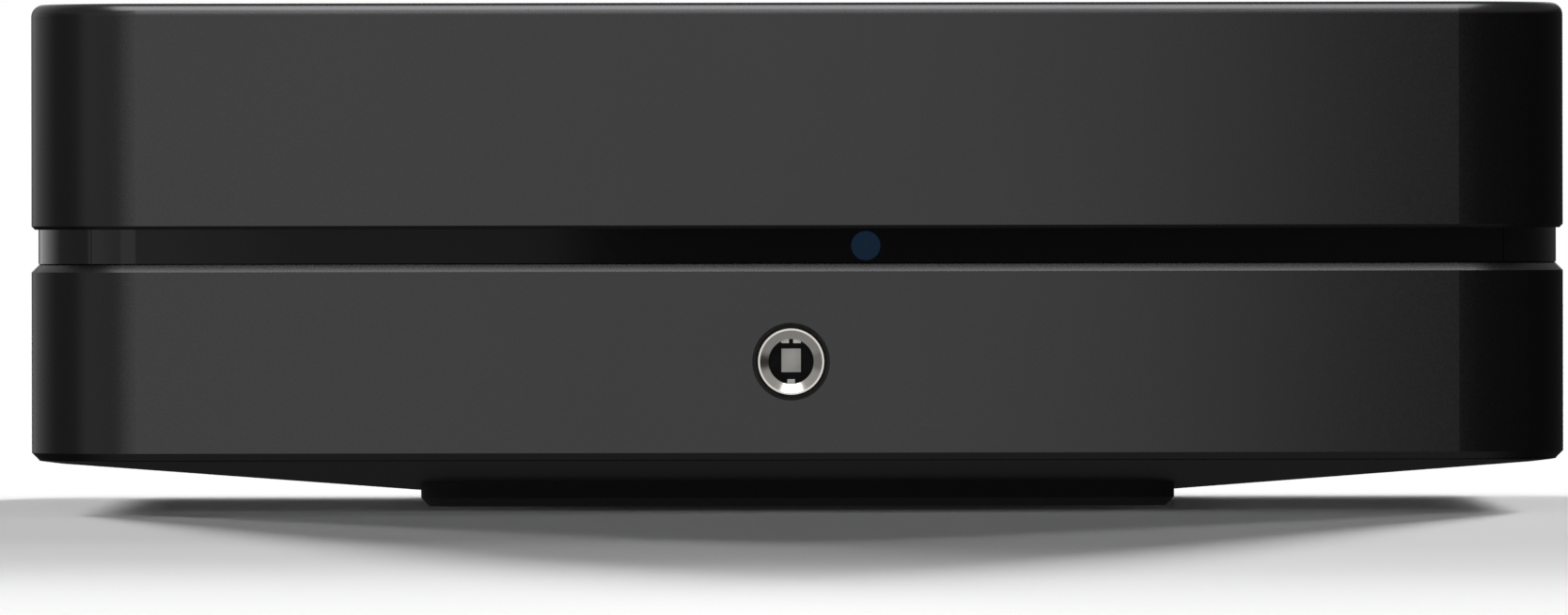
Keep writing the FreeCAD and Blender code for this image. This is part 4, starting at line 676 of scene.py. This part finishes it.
class AMPLIFIER_OT_sockets(bpy.types.Operator):
    """Makes the rims of the headphone, coaxial and small jack sockets, and the network port's lining"""
    bl_idname = "amplifier.sockets"
    bl_label = "Socket rims"

    def execute(self, context):
        sizes = context.scene.amplifier_sockets
        colours = context.scene.amplifier_colours
        self.headphone_rim(sizes, tuple(colours.nickel))
        self.coaxial_barrel(sizes, tuple(colours.gold))
        self.jack_collars(sizes, tuple(colours.nickel))
        self.port_lining(sizes)
        return {"FINISHED"}

    def headphone_rim(self, sizes, colour):
        """The bright rim in the front: a flat lip, and a chamfer down to the bore."""
        low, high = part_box("headphone_bezel")
        centre = (low + high) / 2
        outer = (high.x - low.x) / 2
        edge = sizes.edge
        profile = [(sizes.bore, low.y + sizes.chamfer), (sizes.mouth, low.y),
                   (sizes.mouth + sizes.lip, low.y), (outer - edge, low.y + sizes.slope),
                   (outer, low.y + sizes.slope + edge), (outer, high.y), (sizes.bore, high.y)]
        material = turned_metal("turned_bright_nickel", colour, 0.16, centre)
        new_piece("turned_headphone_rim", "root", turned(profile, centre, steps=96), material,
                  ("headphone_bezel",), sharp=20.0)

    def coaxial_barrel(self, sizes, colour):
        """The gold-plated barrel of the coaxial socket, with the flange that lies on the panel."""
        low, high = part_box("coaxial_socket")
        centre = (low + high) / 2
        flange = (high.x - low.x) / 2
        radius = sizes.coaxial_radius
        inside = radius - sizes.coaxial_wall
        edge = sizes.edge
        shelf = PANEL_BACK + sizes.coaxial_flange
        profile = [(inside, low.y), (radius, low.y), (radius, PANEL_BACK), (flange - edge, PANEL_BACK),
                   (flange, PANEL_BACK + edge), (flange, shelf - edge), (flange - edge, shelf),
                   (radius, shelf), (radius, high.y - 2 * edge), (radius - 2 * edge, high.y),
                   (inside + edge, high.y), (inside, high.y - edge)]
        material = turned_metal("turned_gold_plated_brass", colour, 0.14, centre)
        new_piece("turned_coaxial_barrel", "root", turned(profile, centre, steps=80), material,
                  ("coaxial_socket",), sharp=25.0)

    def jack_collars(self, sizes, colour):
        """The nickel collars round the mouths of the small jacks."""
        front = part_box("mini_jacks")[1].y + sizes.jack_rise
        edge = sizes.edge
        profile = [(sizes.jack_bore, PANEL_BACK + edge), (sizes.jack_radius, PANEL_BACK),
                   (sizes.jack_radius, front - edge), (sizes.jack_radius - edge, front),
                   (sizes.jack_bore + 2 * edge, front), (sizes.jack_bore, front - 2 * edge)]
        for number in MINI_JACKS:
            centre = MOUNTS[f"mini_jack_{number}"]
            material = turned_metal(f"turned_nickel_collar_{number}", colour, 0.16, centre)
            new_piece(f"jack_collar_{number}", "root", turned(profile, centre, steps=64), material,
                      sharp=25.0)

    def port_lining(self, sizes):
        """The black lining of the network port: a cup with the latch's step in its top."""
        centre = MOUNTS["network_port"]
        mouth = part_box("network_port")[1].y - sizes.lining_step
        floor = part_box("network_contacts")[0].z
        half, latch = sizes.lining_width / 2, sizes.latch_width / 2
        shoulder = floor + sizes.lining_height
        top = shoulder + sizes.latch_height
        outline = [(-half, floor), (half, floor), (half, shoulder), (latch, shoulder), (latch, top),
                   (-latch, top), (-latch, shoulder), (-half, shoulder)]
        made = bmesh.new()
        corners = [made.verts.new((centre.x + x, mouth, z)) for x, z in outline]
        rim = bmesh.ops.contextual_create(made, geom=corners)["faces"]
        sunk = bmesh.ops.extrude_face_region(made, geom=rim)["geom"]
        bmesh.ops.translate(made, vec=(0, -sizes.lining_depth, 0), verts=corners_of(sunk))
        bmesh.ops.delete(made, geom=[face for face in made.faces
                                     if all(abs(corner.co.y - mouth) < SAME_PLACE for corner in face.verts)],
                         context="FACES")
        bmesh.ops.recalc_face_normals(made, faces=made.faces)
        bmesh.ops.solidify(made, geom=made.faces[:], thickness=sizes.lining_wall)
        material = moulded_plastic("black_polyamide_lining", linear("#0c0c0d"), 0.45, grain=0.25, depth=0.01)
        new_piece("network_port_lining", "root", made, material, sharp=30.0)


class AMPLIFIER_OT_signs(bpy.types.Operator):
    """Makes the plus and minus signs above the binding posts"""
    bl_idname = "amplifier.signs"
    bl_label = "Polarity signs"

    def execute(self, context):
        sizes = context.scene.amplifier_signs
        white = moulded_plastic("white_screen_print", linear("#d6d6d2"), 0.6, grain=0.2, depth=0.005)
        for number, sign in POST_SIGNS.items():
            low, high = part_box(f"post_knob_{number}")
            middle = Vector(((low.x + high.x) / 2, PANEL_BACK + sizes.thickness / 2, high.z + sizes.gap))
            made = bmesh.new()
            self.bar(made, middle, sizes.length, sizes.stroke, sizes.thickness)
            if sign == "plus":
                self.bar(made, middle, sizes.stroke, sizes.length, sizes.thickness)
            new_piece(f"{sign}_sign_{number}", "root", made, white)
        return {"FINISHED"}

    def bar(self, made, middle, width, height, thickness):
        """One printed bar, whose back lies on the panel."""
        size = Matrix.Diagonal((width, thickness, height, 1))
        bmesh.ops.create_cube(made, size=1, matrix=Matrix.Translation(middle) @ size)


class AMPLIFIER_OT_stage(bpy.types.Operator):
    """Lays the pale floor and sets the lamps, the room and the camera"""
    bl_idname = "amplifier.stage"
    bl_label = "Stage"

    def execute(self, context):
        sizes = context.scene.amplifier_stage
        made = bmesh.new()
        bmesh.ops.create_circle(made, cap_ends=True, segments=96, radius=sizes.floor_reach)
        mesh = bpy.data.meshes.new("floor")
        made.to_mesh(mesh)
        made.free()
        mesh.materials.append(background_paper(tuple(sizes.floor_colour)))
        floor = bpy.data.objects.new("floor", mesh)
        context.scene.collection.objects.link(floor)
        floor.visible_glossy = False
        studio_world()
        lit = {name: lit_set(name, floor, *members) for name, members in LIT_SETS.items()}
        for name, (place, width, height, radiance, pieces) in SOFT_BOXES.items():
            soft_box(name, place, width, height, radiance, lit[pieces], lit["all_but_floor"])
        for number, (turn, height, share) in enumerate(SHADOW_LAMPS):
            shadow_lamp(number, math.radians(turn), math.radians(height), share * sizes.floor_light,
                        lit["floor_alone"])
        make_camera()
        return {"FINISHED"}


def lit_set(name, floor, state, *members):
    """A set of pieces for the lamps, out of the floor and CAD nodes."""
    group = bpy.data.collections.new(name)
    for member in members:
        group.objects.link(floor if member == "floor" else frame["nodes"][member])
    for member in group.collection_objects:
        member.light_linking.link_state = state
    return group


def soft_box(name, place, width, height, radiance, receivers, blockers):
    """A soft box at place, aimed at the object, that shines as a sheet of the given radiance."""
    data = bpy.data.lights.new(name, "AREA")
    data.shape = "RECTANGLE"
    data.size = width
    data.size_y = height
    data.energy = radiance * math.pi * width * height
    lamp = bpy.data.objects.new(name, data)
    lamp.location = place
    lamp.rotation_euler = (AIM - Vector(place)).to_track_quat("-Z", "Y").to_euler()
    lamp.visible_camera = False
    lamp.visible_glossy = name != UNREFLECTED_BOX
    lamp.light_linking.receiver_collection = receivers
    lamp.light_linking.blocker_collection = blockers
    bpy.context.scene.collection.objects.link(lamp)


def shadow_lamp(number, turn, height, light, receivers):
    """One of the low far lamps behind the object, which light the floor and throw the long soft shadow."""
    data = bpy.data.lights.new(f"shadow_lamp_{number}", "SUN")
    data.angle = SHADOW_LAMP_SPREAD
    data.energy = light * math.pi / math.sin(height)
    lamp = bpy.data.objects.new(f"shadow_lamp_{number}", data)
    away = Vector((math.sin(turn) * math.cos(height), math.cos(turn) * math.cos(height), math.sin(height)))
    lamp.rotation_euler = (-away).to_track_quat("-Z", "Y").to_euler()
    lamp.light_linking.receiver_collection = receivers
    bpy.context.scene.collection.objects.link(lamp)


def studio_world():
    """A white backdrop for the camera, and a room that is white behind the object and dark before it."""
    world = bpy.data.worlds.new("studio_room")
    bpy.context.scene.world = world
    world.use_nodes = True
    tree = world.node_tree
    tree.nodes.clear()
    ray = add(tree, "ShaderNodeLightPath").outputs
    direction = add(tree, "ShaderNodeTexCoord").outputs["Generated"]
    parts = add(tree, "ShaderNodeSeparateXYZ", links={"Vector": direction}).outputs
    seen = None
    for slopes in ROOM.values():
        patch = None
        for axis, start, end, low, high in slopes:
            limits = {"From Min": start, "From Max": end, "To Min": low, "To Max": high}
            slope = add(tree, "ShaderNodeMapRange", limits, {"Value": parts[axis]},
                        interpolation_type="SMOOTHSTEP")
            patch = slope if patch is None else add(tree, "ShaderNodeMath", links={0: patch, 1: slope},
                                                    operation="MULTIPLY")
        seen = patch if seen is None else add(tree, "ShaderNodeMath", links={0: seen, 1: patch},
                                              operation="MAXIMUM")
    shown = add(tree, "ShaderNodeMath", links={0: ray["Is Glossy Ray"], 1: seen}, operation="MULTIPLY")
    for kind in ("Is Camera Ray", "Is Transmission Ray"):
        shown = add(tree, "ShaderNodeMath", links={0: shown, 1: ray[kind]}, operation="ADD")
    fill = add(tree, "ShaderNodeBackground", {"Color": linear("#ffffff"), "Strength": ROOM_FILL})
    white = add(tree, "ShaderNodeBackground", {"Color": linear("#ffffff"), "Strength": 1.0})
    final = add(tree, "ShaderNodeMixShader", links={0: shown, 1: fill, 2: white})
    add(tree, "ShaderNodeOutputWorld", links={"Surface": final})


def make_camera():
    """The photograph's level camera, with its frame shifted down to hold the object and its shadow."""
    data = bpy.data.cameras.new("camera")
    data.sensor_width = SENSOR_WIDTH
    data.lens = FOCAL_LENGTH
    data.shift_x = (PHOTO_CENTRE_X - OBJECT_CENTRE_PX) / PHOTO_WIDTH
    data.shift_y = (HORIZON_PX - PHOTO_CENTRE_Y) / PHOTO_WIDTH
    data.clip_end = CAMERA_REACH
    camera = bpy.data.objects.new("camera", data)
    camera.location = (0, FRONT - CAMERA_DISTANCE, CAMERA_HEIGHT)
    camera.rotation_euler = (math.pi / 2, CAMERA_ROLL, 0)
    scene = bpy.context.scene
    scene.collection.objects.link(camera)
    scene.camera = camera
    scene.view_settings.view_transform = "Standard"


class AMPLIFIER_PT_steps(bpy.types.Panel):
    """Lists the settings and the steps in the 3D view's sidebar."""
    bl_label = "Amplifier"
    bl_space_type = "VIEW_3D"
    bl_region_type = "UI"
    bl_category = "Amplifier"

    def draw(self, context):
        for name, group in GROUPS.items():
            settings = getattr(context.scene, name)
            box = self.layout.box()
            for field in group.__annotations__:
                box.prop(settings, field)
        for step in STEPS:
            self.layout.operator(step.bl_idname)


GROUPS = {"amplifier_colours": FinishColours, "amplifier_knobs": KnobSizes, "amplifier_screws": ScrewSizes,
          "amplifier_sockets": SocketSizes, "amplifier_signs": SignSizes, "amplifier_stage": StageSizes}
STEPS = (AMPLIFIER_OT_finishes, AMPLIFIER_OT_knobs, AMPLIFIER_OT_washers, AMPLIFIER_OT_screws,
         AMPLIFIER_OT_sockets, AMPLIFIER_OT_signs, AMPLIFIER_OT_stage)
CLASSES = (*GROUPS.values(), *STEPS, AMPLIFIER_PT_steps)


def register():
    for made in CLASSES:
        bpy.utils.register_class(made)
    for name, group in GROUPS.items():
        setattr(bpy.types.Scene, name, PointerProperty(type=group))


def unregister():
    for name in GROUPS:
        delattr(bpy.types.Scene, name)
    for made in reversed(CLASSES):
        bpy.utils.unregister_class(made)


def main():
    """Runs every step in order."""
    register()
    bpy.ops.amplifier.finishes()
    bpy.ops.amplifier.knobs()
    bpy.ops.amplifier.washers()
    bpy.ops.amplifier.screws()
    bpy.ops.amplifier.sockets()
    bpy.ops.amplifier.signs()
    bpy.ops.amplifier.stage()


if __name__ == "__main__":
    main()
